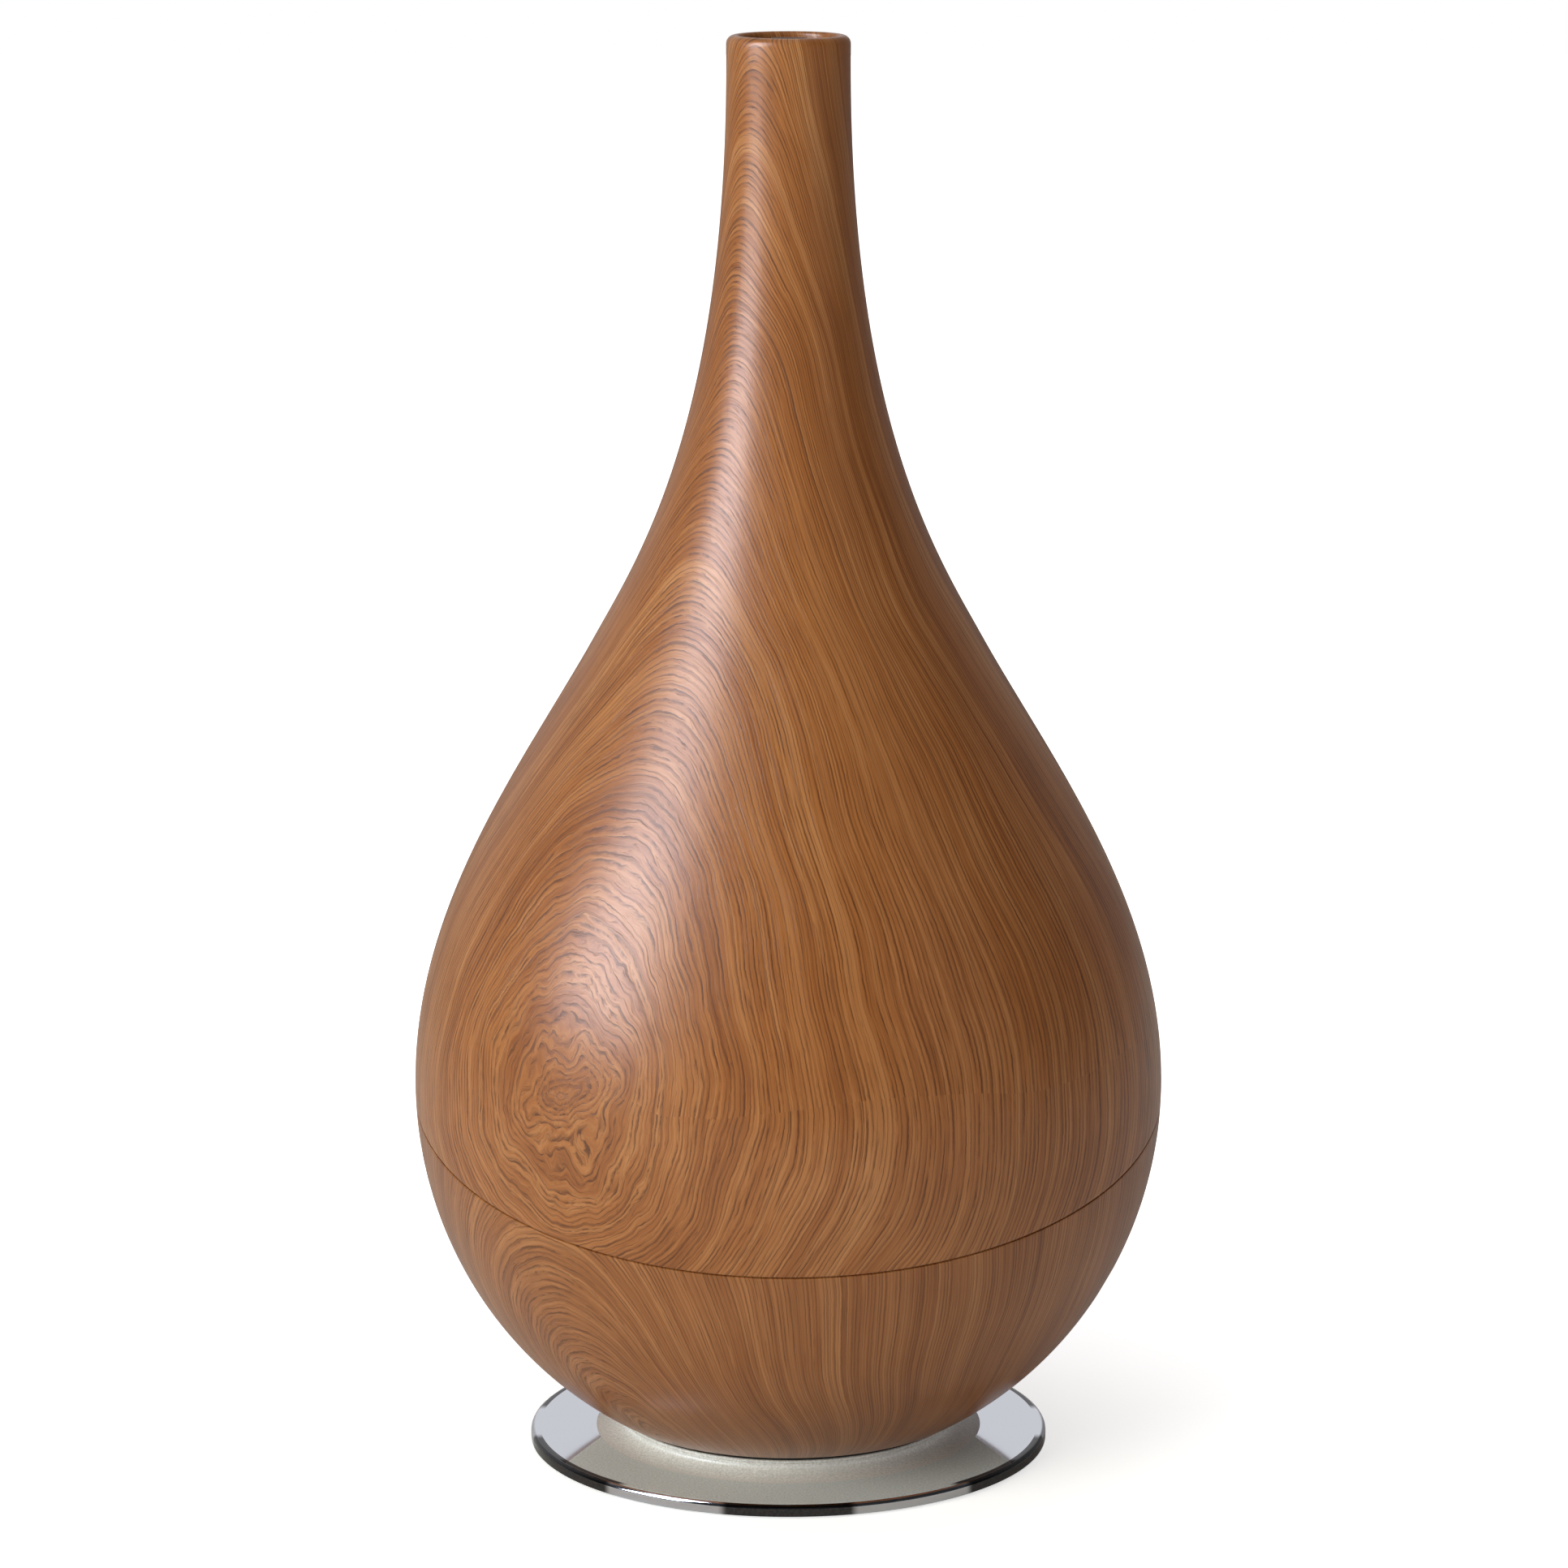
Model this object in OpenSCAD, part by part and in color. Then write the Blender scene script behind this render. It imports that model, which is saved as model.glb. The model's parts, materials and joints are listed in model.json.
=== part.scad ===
// Cool mist humidifier: vase-shaped water tank on an ultrasonic base with a round stand disc.
// Millimetres. +Z is up, the axis is Z, the front is -Y and the resting plane is z = 0.

/* [Body] */
// Radius of the body at its widest
belly_r = 117; // [116:0.5:118]
// Height of the widest place
belly_z = 117.6; // [117:0.2:118.4]
// Half height of the ellipse below the widest place
belly_b = 121.3; // [120.7:0.1:121.9]
// Overall height
top_z = 443.2; // [441:0.2:447]
// Outer radius of the neck
neck_r = 18.9; // [18.8:0.1:19.6]
// Wall of the tank shell
tank_wall = 2.6; // [2.3:0.1:2.8]
// Wall of the base shell
base_wall = 3; // [2.8:0.1:3]

/* [Parting line] */
// Height at which the parting plane crosses the axis
seam_z = 115.35; // [114.5:0.05:116.5]
// Slope of the parting plane, down towards the front
seam_tilt = 14.75; // [13:0.25:15.5]
// Width of the parting line
seam_gap = 0.5; // [0.3:0.1:0.8]

/* [Stand] */
// Radius of the stand disc
disc_r = 81.8; // [78:0.2:90]
// Number of feet
foot_n = 6; // [3:1:8]

/* [Tank] */
// Inner radius of the mist chimney
chimney_bore = 11; // [10.8:0.1:11.2]
// Outer radius of the inner water vessel
vessel_r = 106.5; // [104:0.5:106.5]
// Radius of the filler neck
filler_r = 20; // [19:0.5:20]
// Outer radius of the tank cap
cap_r = 24; // [23.5:0.5:25]

/* [Base] */
// Inner radius of the water basin
basin_r = 83; // [82:0.5:83]
// Radius of the float
float_r = 12; // [10:0.5:14]
// Radius of the fan blades
blade_r = 20.3; // [18:0.1:20.4]
// Number of fan blades
blade_n = 7; // [5:1:9]
// Radius of the push buttons
button_r = 4.5; // [4:0.1:4.7]

/* [Hidden] */

$fn = 96;

// Thickness of the feet and of the stand disc
foot_t = 0.8;
disc_t = 3.8;
eps = 0.01;
fit = 0.05;
gap = 0.3;

// Outline of the body: an ellipse below the widest place and two joined cubics above it.
shell_z = 10.4;
low_n = 22;
up_n = 16;
turn = [60, 258.3];
turn_dir = [-0.4844, 0.8749];
straight_z = 436;
shoulder = [[belly_r, belly_z], [belly_r, belly_z + 56.35], turn - 44.4 * turn_dir, turn];
slope = [turn, turn + 27.5 * turn_dir, [neck_r, straight_z - 111.4], [neck_r, straight_z]];
low_angle = asin((shell_z - belly_z) / belly_b);

function cubic(p, t) = (1 - t)^3 * p[0] + 3 * (1 - t)^2 * t * p[1] + 3 * (1 - t) * t^2 * p[2] + t^3 * p[3];
function cubic_d(p, t) = (1 - t)^2 * (p[1] - p[0]) + 2 * (1 - t) * t * (p[2] - p[1]) + t^2 * (p[3] - p[2]);
function inset(p, d, a) = p - a * [d[1], -d[0]] / norm(d);
function ellipse_at(t) = [belly_r * cos(t), belly_z + belly_b * sin(t)];
function ellipse_d(t) = [-belly_r * sin(t), belly_b * cos(t)];
function low_part(a) = [for (i = [0:low_n]) let (t = low_angle * (1 - i / low_n))
    inset(ellipse_at(t), ellipse_d(t), a)];
function up_part(p, a) = [for (i = [1:up_n]) inset(cubic(p, i / up_n), cubic_d(p, i / up_n), a)];
function profile(a) = concat(low_part(a), up_part(shoulder, a), up_part(slope, a));
function between(list, lo, hi) = [for (p = list) if (p[1] >= lo && p[1] <= hi) p];
function turned(list) = [for (i = [len(list) - 1:-1:0]) list[i]];
function radius_at(z, a = 0) = lookup(z, [for (p = profile(a)) [p[1], p[0]]]);
function wall_lean(z) = atan((belly_r / belly_b)^2 * (belly_z - z) / radius_at(z));

// Levels of the base.
disc_top = foot_t + disc_t;
collar_top = 9.2;
lip_in = 38;
plate_z = shell_z + base_wall;
plate_t = 2;
plate_r = 53;
bolt_ring = 44;
bolt_r = 2;
bolt_head_r = 4;
bolt_head_t = 2.2;
bolt_n = 3;
foot_r = 7;
foot_ring = 68;

// Basin.
basin_floor = 52;
basin_t = 3;
flange_top = 84;
flange_t = 4;
flange_r = 107;
basin_under = basin_floor - basin_t;
boss_ring = 100;
boss_r = 5;
boss_from = 52;
basin_screw_r = 1.5;
basin_head_r = 3;
basin_head_t = 2.2;
basin_screw_len = 14;
boss_angles = [30, 150, 270];

// Tank.
floor_t = 3;
vessel_wall = 2.5;
vessel_top = 160;
chimney_wall = 2;
chimney_out = chimney_bore + chimney_wall;
chimney_low = 62;
chimney_flare_z = 76;
flare_grow = 5;
chimney_top = 424;
lip_r = 2;
lip_wall = 4;
seal_z = [88.2, 91.5];
socket_top = 92;
socket_r = 18;
seal_r = 15.5;

// Filler neck, cap and valve.
cap_y = -48;
filler_wall = 3;
filler_low = 72;
cap_plate = [67, 70];
cap_skirt_top = 82;
cap_flute_n = 12;
spider_z = [84, 86];
spider_r = 15;
leg_w = 3;
port_r = 2.1;
port_ring = 6.3;
port_n = 4;
hub_r = 4;
stem_r = 2.5;
stem_z = [62, 91];
valve_z = [75, 76.5, 78];
valve_r = 9;
spring_r = 5.6;
spring_wire = 0.5;
spring_turns = 3;
pin_r = 3.5;

// Nozzle.
sleeve_r = lip_wall < neck_r ? neck_r - lip_wall - gap : neck_r;
sleeve_in = 12;
sleeve_top = 441;
sleeve_floor = 2;
nozzle_r = sleeve_in - gap;
nozzle_wall = 1.6;
nozzle_cap = 2;
outlet_r = 3.6;
outlet_half = 4;
outlet_y = -3.6;

// Mist maker.
port_open = 8;
mount_r = 18;
mount_low = 42;
recess_r = 11.2;
recess_top = 48;
piezo_r = 10;
piezo_z = [46, 47];
piezo_seal_in = 8.6;
piezo_seal_low = 45;
clamp_z = [40.4, 42];
clamp_r = 17;
clamp_in = 6;
clamp_lip_in = 9;
clamp_ring = 14.3;
clamp_screw_r = 1;
clamp_head_r = 1.9;
clamp_head_t = 1.2;
clamp_screw_top = 46.8;

// Float.
float_at = [52, 10];
float_z = [54, 64];
post_r = 2.5;
post_top = 77;
shoulder_r = 5;
retainer_z = [74, 78.5];
retainer_r = 6;
magnet_r = [3.6, 7];
magnet_t = 3;

// Fan.
fan_y = 38;
fan_half = 23;
fan_z = [27, 41];
fan_bore = 21;
strut_t = 2;
strut_w = 3;
motor_r = 7.5;
motor_base_r = 9.5;
motor_top = 34.5;
shaft_r = 1.2;
shaft_top = 37.8;
rotor_z = [30, 38.3];
rotor_r = 9.5;
rotor_in = 8;
rotor_roof = 2;
blade_t = 1.1;
blade_pitch = 38;
fan_hole_at = 19.5;
fan_screw_r = 1.4;
fan_head = [2.7, 1.6];
fan_screw_top = 46;
duct_r = 11;
duct_wall = 2;
duct_top = 78;
frame_wall = 3;
frame_boss_r = 3.4;

// Rear intake.
grille_z = 36;
grille_size = [44, 14];
grille_flange = [48, 18];
slot_n = 9;
slot_w = 2.2;
slot_pitch = 4.4;
slot_h = 10.4;
filter_t = 3.2;

// Control panel.
panel_z = 64;
panel_size = [64, 18];
panel_flange = [70, 24];
corner_r = 4;
button_x = [-10, 3, 16];
button_rise = 0.9;
button_foot = 5.6;
led_x = 26;
led_r = 1.5;
window_x = -24;
window_r = 3.6;
board_depth = [9.2, 10.8];
board_size = [58, 15];
switch_size = [6, 6, 2];
receiver_size = [6, 6, 1];
receiver_dome_r = 1.8;
receiver_dome = 0.8;

// Power inlet.
inlet_angle = -12;
inlet_z = 57;
inlet_r = 5.9;
inlet_face = 0.3;
inlet_depth = 10.5;
inlet_recess = [4.6, 4.5];
inlet_socket = [2.75, 9.5];
inlet_pin_r = 1;
nut_r = 8.4;
nut_depth = [4.1, 6.6];

// Driver board.
board_y = -28;
board_z = 24;
board_t = 1.6;
board_half = [28, 18];
post_at = [24, 14];
standoff_r = 3;
board_screw_r = 1.4;
board_head = [2.6, 1.6];
board_cans = [[12, -38, 5, 9], [3, -24, 3, 7], [11, -25, 3, 7]];
board_blocks = [[-24, -30, 6, 9, 4], [18, -31, 6, 8, 3], [-7, -20, 6, 4, 4]];
sink_at = [-21, -42];
sink_size = [12, 11, 2.5];
fin_n = 6;
fin_t = 1.2;
fin_h = 9;
wire_r = 1.2;
bend_grow = 1.14;
thin_wire_r = 0.95;
panel_wire_r = 1.1;
power_path = [[88.9, -18.9, 62.8], [86.9, -27, 61.5], [84, -34, 56], [82.5, -35.5, 49.5],
    [77, -33.5, 43], [66, -30, 38.5], [25, -20, 26.9]];
fan_path = [[17, 13.4, 34], [14, 3, 32], [8, -14, 26.9]];
transducer_path = [[0, 0, 44.6], [0, -3, 37], [-4, -14, 26.9]];
panel_path = [[-16, 91.5, 64.3], [-24, 88.5, 54], [-31, 83.5, 49.5], [-36, 75, 44.5],
    [-36, 45, 37.5], [-34, 20, 32.5], [-16, -16, 26.9]];

wood = [0.55, 0.33, 0.17];
dark = [0.09, 0.09, 0.1];
white_plastic = [0.86, 0.87, 0.87];
metal = [0.72, 0.73, 0.75];
green = [0.07, 0.33, 0.2];
clear = [0.8, 0.88, 0.92, 0.5];

// Ring of outer radius ro and inner radius ri between two heights.
module ring(ro, ri, z0, z1) {
    difference() {
        translate([0, 0, z0]) cylinder(r = ro, h = z1 - z0);
        translate([0, 0, z0 - 1]) cylinder(r = ri, h = z1 - z0 + 2);
    }
}

// Upright rod between two heights.
module rod(r, z0, z1) {
    translate([0, 0, z0]) cylinder(r = r, h = z1 - z0);
}

// Rounded rectangular bar along Z, from z0 to z1.
module bar(size, r, z0, z1) {
    translate([0, 0, z0]) linear_extrude(height = z1 - z0) {
        square([size[0] - 2 * r, size[1]], center = true);
        square([size[0], size[1] - 2 * r], center = true);
        for (x = [-1, 1], y = [-1, 1]) {
            translate([x * (size[0] / 2 - r), y * (size[1] / 2 - r)]) circle(r = r, $fn = 48);
        }
    }
}

// Everything below the parting plane, moved by off along its normal.
module under_seam(off) {
    far = 300;
    translate([0, 0, seam_z]) rotate([seam_tilt, 0, 0])
        translate([-far, -far, off - 2 * far]) cube([2 * far, 2 * far, 2 * far]);
}

// Everything above the parting plane, moved by off along its normal.
module over_seam(off) {
    far = 300;
    translate([0, 0, seam_z]) rotate([seam_tilt, 0, 0])
        translate([-far, -far, off]) cube([2 * far, 2 * far, 2 * far]);
}

// Layer of the body wall between two depths, over the heights lo to hi.
module layer(a, b, lo, hi) {
    rotate_extrude($fn = 180)
        polygon(concat(between(profile(a), lo, hi), turned(between(profile(b), lo, hi))));
}

// Places children on the outer wall with local Z along the outward normal.
module on_wall(angle, z) {
    rotate([0, 0, angle - 90]) translate([0, radius_at(z), z])
        rotate([-90 - wall_lean(z), 0, 0]) children();
}

// Repeats children evenly round the axis.
module around(n, start = 0) {
    for (i = [0:n - 1]) rotate([0, 0, start + i * 360 / n]) children();
}

// Wire through a list of points.
module wire(path, r = wire_r) {
    for (i = [0:len(path) - 2]) {
        run = path[i + 1] - path[i];
        flat = norm([run[0], run[1]]);
        translate(path[i]) rotate([0, atan2(flat, run[2]), atan2(run[1], run[0])]) {
            cylinder(r = r, h = norm(run), $fn = 24);
            if (i > 0) sphere(r = bend_grow * r, $fn = 24);
        }
    }
}

// Upper body with the neck and its rounded lip.
module tank_shell() {
    low = 70;
    bore_z = 412;
    outer = between(profile(0), low, straight_z);
    inner = between(profile(tank_wall), low, bore_z);
    lip_mid = neck_r - lip_wall / 2;
    rim = [for (a = [0:22.5:180]) [lip_mid + lip_r * cos(a), top_z - lip_r + lip_r * sin(a)]];
    bore = [[neck_r - lip_wall, chimney_top], [chimney_out + 2 * fit, chimney_top],
        [chimney_out + 2 * fit, bore_z + 5]];
    color(wood) difference() {
        rotate_extrude($fn = 180) polygon(concat(outer, rim, bore, turned(inner)));
        under_seam(seam_gap / 2);
    }
}

// Inner water vessel with chimney socket and filler neck.
module tank_floor() {
    floor_z = flange_top + floor_t;
    wall_in = vessel_r - vessel_wall;
    join_r = radius_at(vessel_top, tank_wall) - 2 * fit;
    collar = 4;
    color(white_plastic) {
        difference() {
            union() {
                rod(vessel_r, flange_top, floor_z);
                ring(vessel_r, wall_in, flange_top, vessel_top);
                ring(join_r, wall_in, vessel_top - collar, vessel_top);
                rod(socket_r, flange_top, socket_top);
                translate([0, cap_y, 0]) rod(filler_r, filler_low, floor_z);
            }
            rod(chimney_out + 2 * fit, flange_top - 1, socket_top + 1);
            rod(seal_r + fit, seal_z[0], socket_top + 1);
            translate([0, cap_y, 0]) rod(filler_r - filler_wall, filler_low - 1, floor_z + 1);
        }
    }
}

// Tube that carries the mist from the basin to the neck.
module mist_chimney() {
    wide = chimney_bore + flare_grow;
    color(clear) rotate_extrude() polygon([[wide, chimney_low], [wide + chimney_wall, chimney_low],
        [chimney_out, chimney_flare_z], [chimney_out, chimney_top], [chimney_bore, chimney_top],
        [chimney_bore, chimney_flare_z]]);
}

module chimney_seal() {
    color(dark) ring(seal_r, chimney_out + fit, seal_z[0], seal_z[1]);
}

// Cap over the filler neck, with water ports, stem guide and spring bridge.
module tank_cap() {
    in_r = filler_r + gap;
    color(white_plastic) translate([0, cap_y, 0]) difference() {
        union() {
            rod(cap_r, cap_plate[0], cap_plate[1]);
            ring(cap_r, in_r, cap_plate[0], cap_skirt_top);
            around(3) translate([0, -leg_w / 2, cap_plate[0]])
                cube([spider_r, leg_w, spider_z[1] - cap_plate[0]]);
        }
        rod(spider_r - leg_w, cap_plate[1], spider_z[0]);
        rod(stem_r + fit, cap_plate[0] - 1, spider_z[1] + 1);
        around(port_n) translate([port_ring, 0, 0]) rod(port_r, cap_plate[0] - 1, cap_plate[1] + 1);
        around(cap_flute_n, 15) translate([cap_r + 0.6, 0, 0])
            rod(1.5, cap_plate[0] - 1, cap_skirt_top + 1);
    }
}

module cap_gasket() {
    color(dark) translate([0, cap_y, 0]) ring(filler_r, filler_r - filler_wall, cap_plate[1], filler_low);
}

// Stem with the valve disc; the basin pin holds it up.
module valve_stem() {
    color(white_plastic) translate([0, cap_y, 0]) {
        rod(stem_r, stem_z[0], stem_z[1]);
        rod(valve_r, valve_z[1], valve_z[2]);
    }
}

module valve_seal() {
    color(dark) translate([0, cap_y, 0]) ring(valve_r + 0.5, stem_r, valve_z[0], valve_z[1]);
}

// Coil rings of the valve spring, joined by one riser each side.
module valve_spring() {
    tall = spider_z[0] - valve_z[2];
    pitch = (tall - 2 * spring_wire) / spring_turns;
    color(metal) translate([0, cap_y, valve_z[2] + spring_wire]) {
        for (i = [0:spring_turns]) translate([0, 0, i * pitch])
            rotate_extrude() translate([spring_r, 0]) circle(r = spring_wire, $fn = 24);
        for (x = [-1, 1]) translate([x * spring_r, 0, 0])
            cylinder(r = 0.4, h = spring_turns * pitch, $fn = 24);
    }
}

// Sleeve that drops into the neck and carries the turning outlet.
module nozzle_sleeve() {
    low = chimney_top;
    color(dark) difference() {
        rod(sleeve_r, low, sleeve_top);
        rod(chimney_bore - 0.4, low - 1, sleeve_top + 1);
        rod(sleeve_in, low + sleeve_floor, sleeve_top + 1);
    }
}

// Turning outlet with an off-centre slot.
module mist_nozzle() {
    low = chimney_top + sleeve_floor;
    high = sleeve_top;
    color(dark) difference() {
        union() {
            difference() {
                rod(nozzle_r, low, high);
                rod(nozzle_r - nozzle_wall, low - 1, high - nozzle_cap);
            }
            translate([-5, 4.6, high - 1]) cube([10, 1.6, 2]);
        }
        for (x = [-1, 1]) translate([x * outlet_half, outlet_y, 0])
            rod(outlet_r, high - nozzle_cap - 1, high + 1);
        translate([-outlet_half, outlet_y - outlet_r, high - nozzle_cap - 1])
            cube([2 * outlet_half, 2 * outlet_r, nozzle_cap + 2]);
    }
}

// Lower body with its floor ring, screw bosses and openings.
module base_shell() {
    high = 156;
    color(wood) difference() {
        union() {
            layer(0, base_wall, 0, high);
            ring(radius_at(shell_z) - 0.3, lip_in, shell_z, plate_z);
            intersection() {
                for (a = boss_angles) rotate([0, 0, a]) translate([boss_ring, 0, 0])
                    rod(boss_r, boss_from, flange_top - flange_t);
                rotate_extrude($fn = 180) polygon(concat([[0, shell_z]],
                    between(profile(base_wall / 2), 0, flange_top + 10), [[0, flange_top + 10]]));
            }
        }
        over_seam(-seam_gap / 2);
        on_wall(90, grille_z) bar(grille_size, corner_r, -12, 5);
        on_wall(90, panel_z) bar(panel_size, corner_r, -12, 5);
        on_wall(inlet_angle, inlet_z) rod(inlet_r + fit, -12, 5);
        around(bolt_n, 90) translate([bolt_ring, 0, 0]) rod(bolt_r + 0.2, shell_z - 1, plate_z + 1);
        for (a = boss_angles) rotate([0, 0, a]) translate([boss_ring, 0, 0])
            rod(basin_screw_r + fit, flange_top - flange_t - basin_screw_len, flange_top);
    }
}

// Basin with mist maker seat, valve pin, float post, air duct and fan frame.
module water_basin() {
    frame_in = fan_half - frame_wall;
    color(white_plastic) difference() {
        union() {
            rod(basin_r + basin_t, basin_under, basin_floor);
            ring(basin_r + basin_t, basin_r, basin_under, flange_top);
            ring(flange_r, basin_r, flange_top - flange_t, flange_top);
            rod(mount_r, mount_low, basin_under + eps);
            translate([0, cap_y, 0]) rod(pin_r, basin_floor - 1, stem_z[0]);
            translate([float_at[0], float_at[1], 0]) {
                rod(post_r, basin_floor - 1, post_top);
                rod(shoulder_r, basin_floor - 1, float_z[0]);
            }
            translate([0, fan_y, 0]) {
                rod(duct_r + duct_wall, basin_under, duct_top);
                difference() {
                    translate([-fan_half, -fan_half, fan_z[1]])
                        cube([2 * fan_half, 2 * fan_half, basin_under - fan_z[1] + eps]);
                    translate([-frame_in, -frame_in, fan_z[1] - 1])
                        cube([2 * frame_in, 2 * frame_in, basin_under - fan_z[1] + 1]);
                    rod(mount_r + 1, fan_z[1] - 1, basin_under);
                }
                for (x = [-1, 1], y = [-1, 1]) translate([x * fan_hole_at, y * fan_hole_at, 0])
                    rod(frame_boss_r, fan_z[1], basin_under + eps);
            }
        }
        translate([0, fan_y, 0]) rod(duct_r, fan_z[1], duct_top + 1);
        rod(port_open, mount_low - 1, basin_floor + 1);
        rod(recess_r, mount_low - 1, recess_top);
        around(3) translate([clamp_ring, 0, 0]) rod(clamp_screw_r, mount_low - 1, clamp_screw_top + 0.2);
        translate([0, fan_y, 0]) for (x = [-1, 1], y = [-1, 1])
            translate([x * fan_hole_at, y * fan_hole_at, 0])
                rod(fan_screw_r, fan_z[1] - 1, fan_screw_top + 0.4);
        for (a = boss_angles) rotate([0, 0, a]) translate([boss_ring, 0, 0]) {
            rod(basin_screw_r + 0.2, flange_top - flange_t - 1, flange_top + 1);
            rod(basin_head_r + 0.2, flange_top - basin_head_t, flange_top + 1);
        }
    }
}

module basin_screws() {
    neck_z = flange_top - basin_head_t;
    color(metal) for (a = boss_angles) rotate([0, 0, a]) translate([boss_ring, 0, 0]) difference() {
        union() {
            rod(basin_screw_r, flange_top - basin_screw_len, neck_z + eps);
            rod(basin_head_r, neck_z, flange_top - 0.3);
        }
        for (t = [0, 90]) rotate([0, 0, t]) translate([-2, -0.4, flange_top - 1.3]) cube([4, 0.8, 2]);
    }
}

module transducer_disc() {
    color(metal) rod(piezo_r, piezo_z[0], piezo_z[1]);
}

module transducer_seal() {
    color(dark) difference() {
        ring(recess_r, piezo_seal_in, piezo_seal_low, recess_top);
        rod(piezo_r, piezo_z[0], piezo_z[1]);
    }
}

module transducer_clamp() {
    color(metal) difference() {
        union() {
            ring(clamp_r, clamp_in, clamp_z[0], clamp_z[1]);
            ring(recess_r - gap, clamp_lip_in, clamp_z[1] - eps, piezo_seal_low);
        }
        around(3) translate([clamp_ring, 0, 0]) rod(clamp_screw_r + 0.2, clamp_z[0] - 1, clamp_z[1] + 1);
        translate([-clamp_r, fan_y - fan_half - gap, clamp_z[0] - 1])
            cube([2 * clamp_r, clamp_r, clamp_z[1]]);
    }
}

module transducer_screws() {
    color(metal) around(3) translate([clamp_ring, 0, 0]) {
        rod(clamp_screw_r, clamp_z[0] - eps, clamp_screw_top);
        rod(clamp_head_r, clamp_z[0] - clamp_head_t, clamp_z[0]);
    }
}

// Ring float that rides on the post.
module float() {
    color(white_plastic) translate([float_at[0], float_at[1], 0]) difference() {
        ring(float_r, post_r + gap, float_z[0], float_z[1]);
        ring(magnet_r[1], magnet_r[0], float_z[0] - 1, float_z[0] + magnet_t);
    }
}

module float_magnet() {
    color(dark) translate([float_at[0], float_at[1], 0])
        ring(magnet_r[1], magnet_r[0], float_z[0], float_z[0] + magnet_t);
}

module float_retainer() {
    color(white_plastic) translate([float_at[0], float_at[1], 0]) difference() {
        rod(retainer_r, retainer_z[0], retainer_z[1]);
        rod(post_r, retainer_z[0] - 1, post_top);
    }
}

// Glass switch under the basin floor, below the float.
module reed_switch() {
    z = basin_under - 2;
    color(clear) translate([float_at[0] - 8, float_at[1], z]) rotate([0, 90, 0]) {
        cylinder(r = 1.8, h = 16, $fn = 48);
        translate([0, 0, -4]) cylinder(r = 0.4, h = 24, $fn = 24);
    }
}

module fan_housing() {
    color(dark) translate([0, fan_y, 0]) {
        difference() {
            bar([2 * fan_half, 2 * fan_half], 3, fan_z[0], fan_z[1]);
            rod(fan_bore, fan_z[0] - 1, fan_z[1] + 1);
            for (x = [-1, 1], y = [-1, 1]) translate([x * fan_hole_at, y * fan_hole_at, 0])
                rod(fan_screw_r + 0.2, fan_z[0] - 1, fan_z[1] + 1);
        }
        rod(motor_base_r, fan_z[0], fan_z[0] + strut_t);
        around(4, 45) translate([motor_base_r - 1, -strut_w / 2, fan_z[0]])
            cube([fan_bore - motor_base_r + 1.6, strut_w, strut_t]);
    }
}

module fan_motor() {
    color(metal) translate([0, fan_y, 0]) {
        rod(motor_r, fan_z[0] + strut_t, motor_top);
        rod(shaft_r, motor_top - 1, shaft_top);
    }
}

module fan_rotor() {
    blade_h = 5.4;
    mid_z = (rotor_z[0] + rotor_z[1]) / 2;
    color(dark) translate([0, fan_y, 0]) {
        difference() {
            rod(rotor_r, rotor_z[0], rotor_z[1]);
            rod(rotor_in, rotor_z[0] - 1, rotor_z[1] - rotor_roof);
            rod(shaft_r + fit, rotor_z[0] - 1, rotor_z[1] + 1);
        }
        intersection() {
            around(blade_n) translate([rotor_r - 0.8, 0, mid_z]) rotate([blade_pitch, 0, 0])
                translate([0, -blade_h, -blade_t / 2]) cube([blade_r, 2 * blade_h, blade_t]);
            ring(blade_r, rotor_r - 0.8, rotor_z[0] + 0.4, rotor_z[1]);
        }
    }
}

module fan_screws() {
    color(metal) translate([0, fan_y, 0]) for (x = [-1, 1], y = [-1, 1])
        translate([x * fan_hole_at, y * fan_hole_at, 0]) {
            rod(fan_screw_r, fan_z[0] - eps, fan_screw_top);
            rod(fan_head[0], fan_z[0] - fan_head[1], fan_z[0]);
        }
}

// Slotted intake panel in the rear wall.
module air_grille() {
    color(dark) difference() {
        union() {
            intersection() {
                layer(0.5, base_wall + 0.2, 15, 70);
                on_wall(90, grille_z)
                    bar([grille_size[0] - 0.4, grille_size[1] - 0.4], corner_r - 0.2, -12, 5);
            }
            intersection() {
                layer(base_wall + fit, base_wall + 1.6, 15, 70);
                on_wall(90, grille_z) bar(grille_flange, corner_r, -14, 5);
            }
        }
        on_wall(90, grille_z) for (i = [0:slot_n - 1])
            translate([(i - (slot_n - 1) / 2) * slot_pitch - slot_w / 2, -slot_h / 2, -14])
                cube([slot_w, slot_h, 20]);
    }
}

module air_filter() {
    near = base_wall + 1.7;
    color(dark) intersection() {
        layer(near, near + filter_t, 12, 75);
        on_wall(90, grille_z) bar(grille_flange, corner_r, -18, 5);
    }
}

// Curved insert in the rear wall with holes for the buttons, light and window.
module control_panel() {
    color(dark) difference() {
        union() {
            intersection() {
                layer(0.5, base_wall + 0.2, 30, 100);
                on_wall(90, panel_z)
                    bar([panel_size[0] - 0.4, panel_size[1] - 0.4], corner_r - 0.2, -12, 5);
            }
            intersection() {
                layer(base_wall + fit, base_wall + 1.4, 30, 100);
                on_wall(90, panel_z) bar(panel_flange, corner_r, -14, 5);
            }
        }
        on_wall(90, panel_z) {
            for (x = button_x) translate([x, 0, 0]) rod(button_r + gap, -14, 5);
            translate([led_x, 0, 0]) rod(led_r, -14, 5);
            translate([window_x, 0, 0]) rod(window_r, -14, 5);
        }
    }
}

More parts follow.
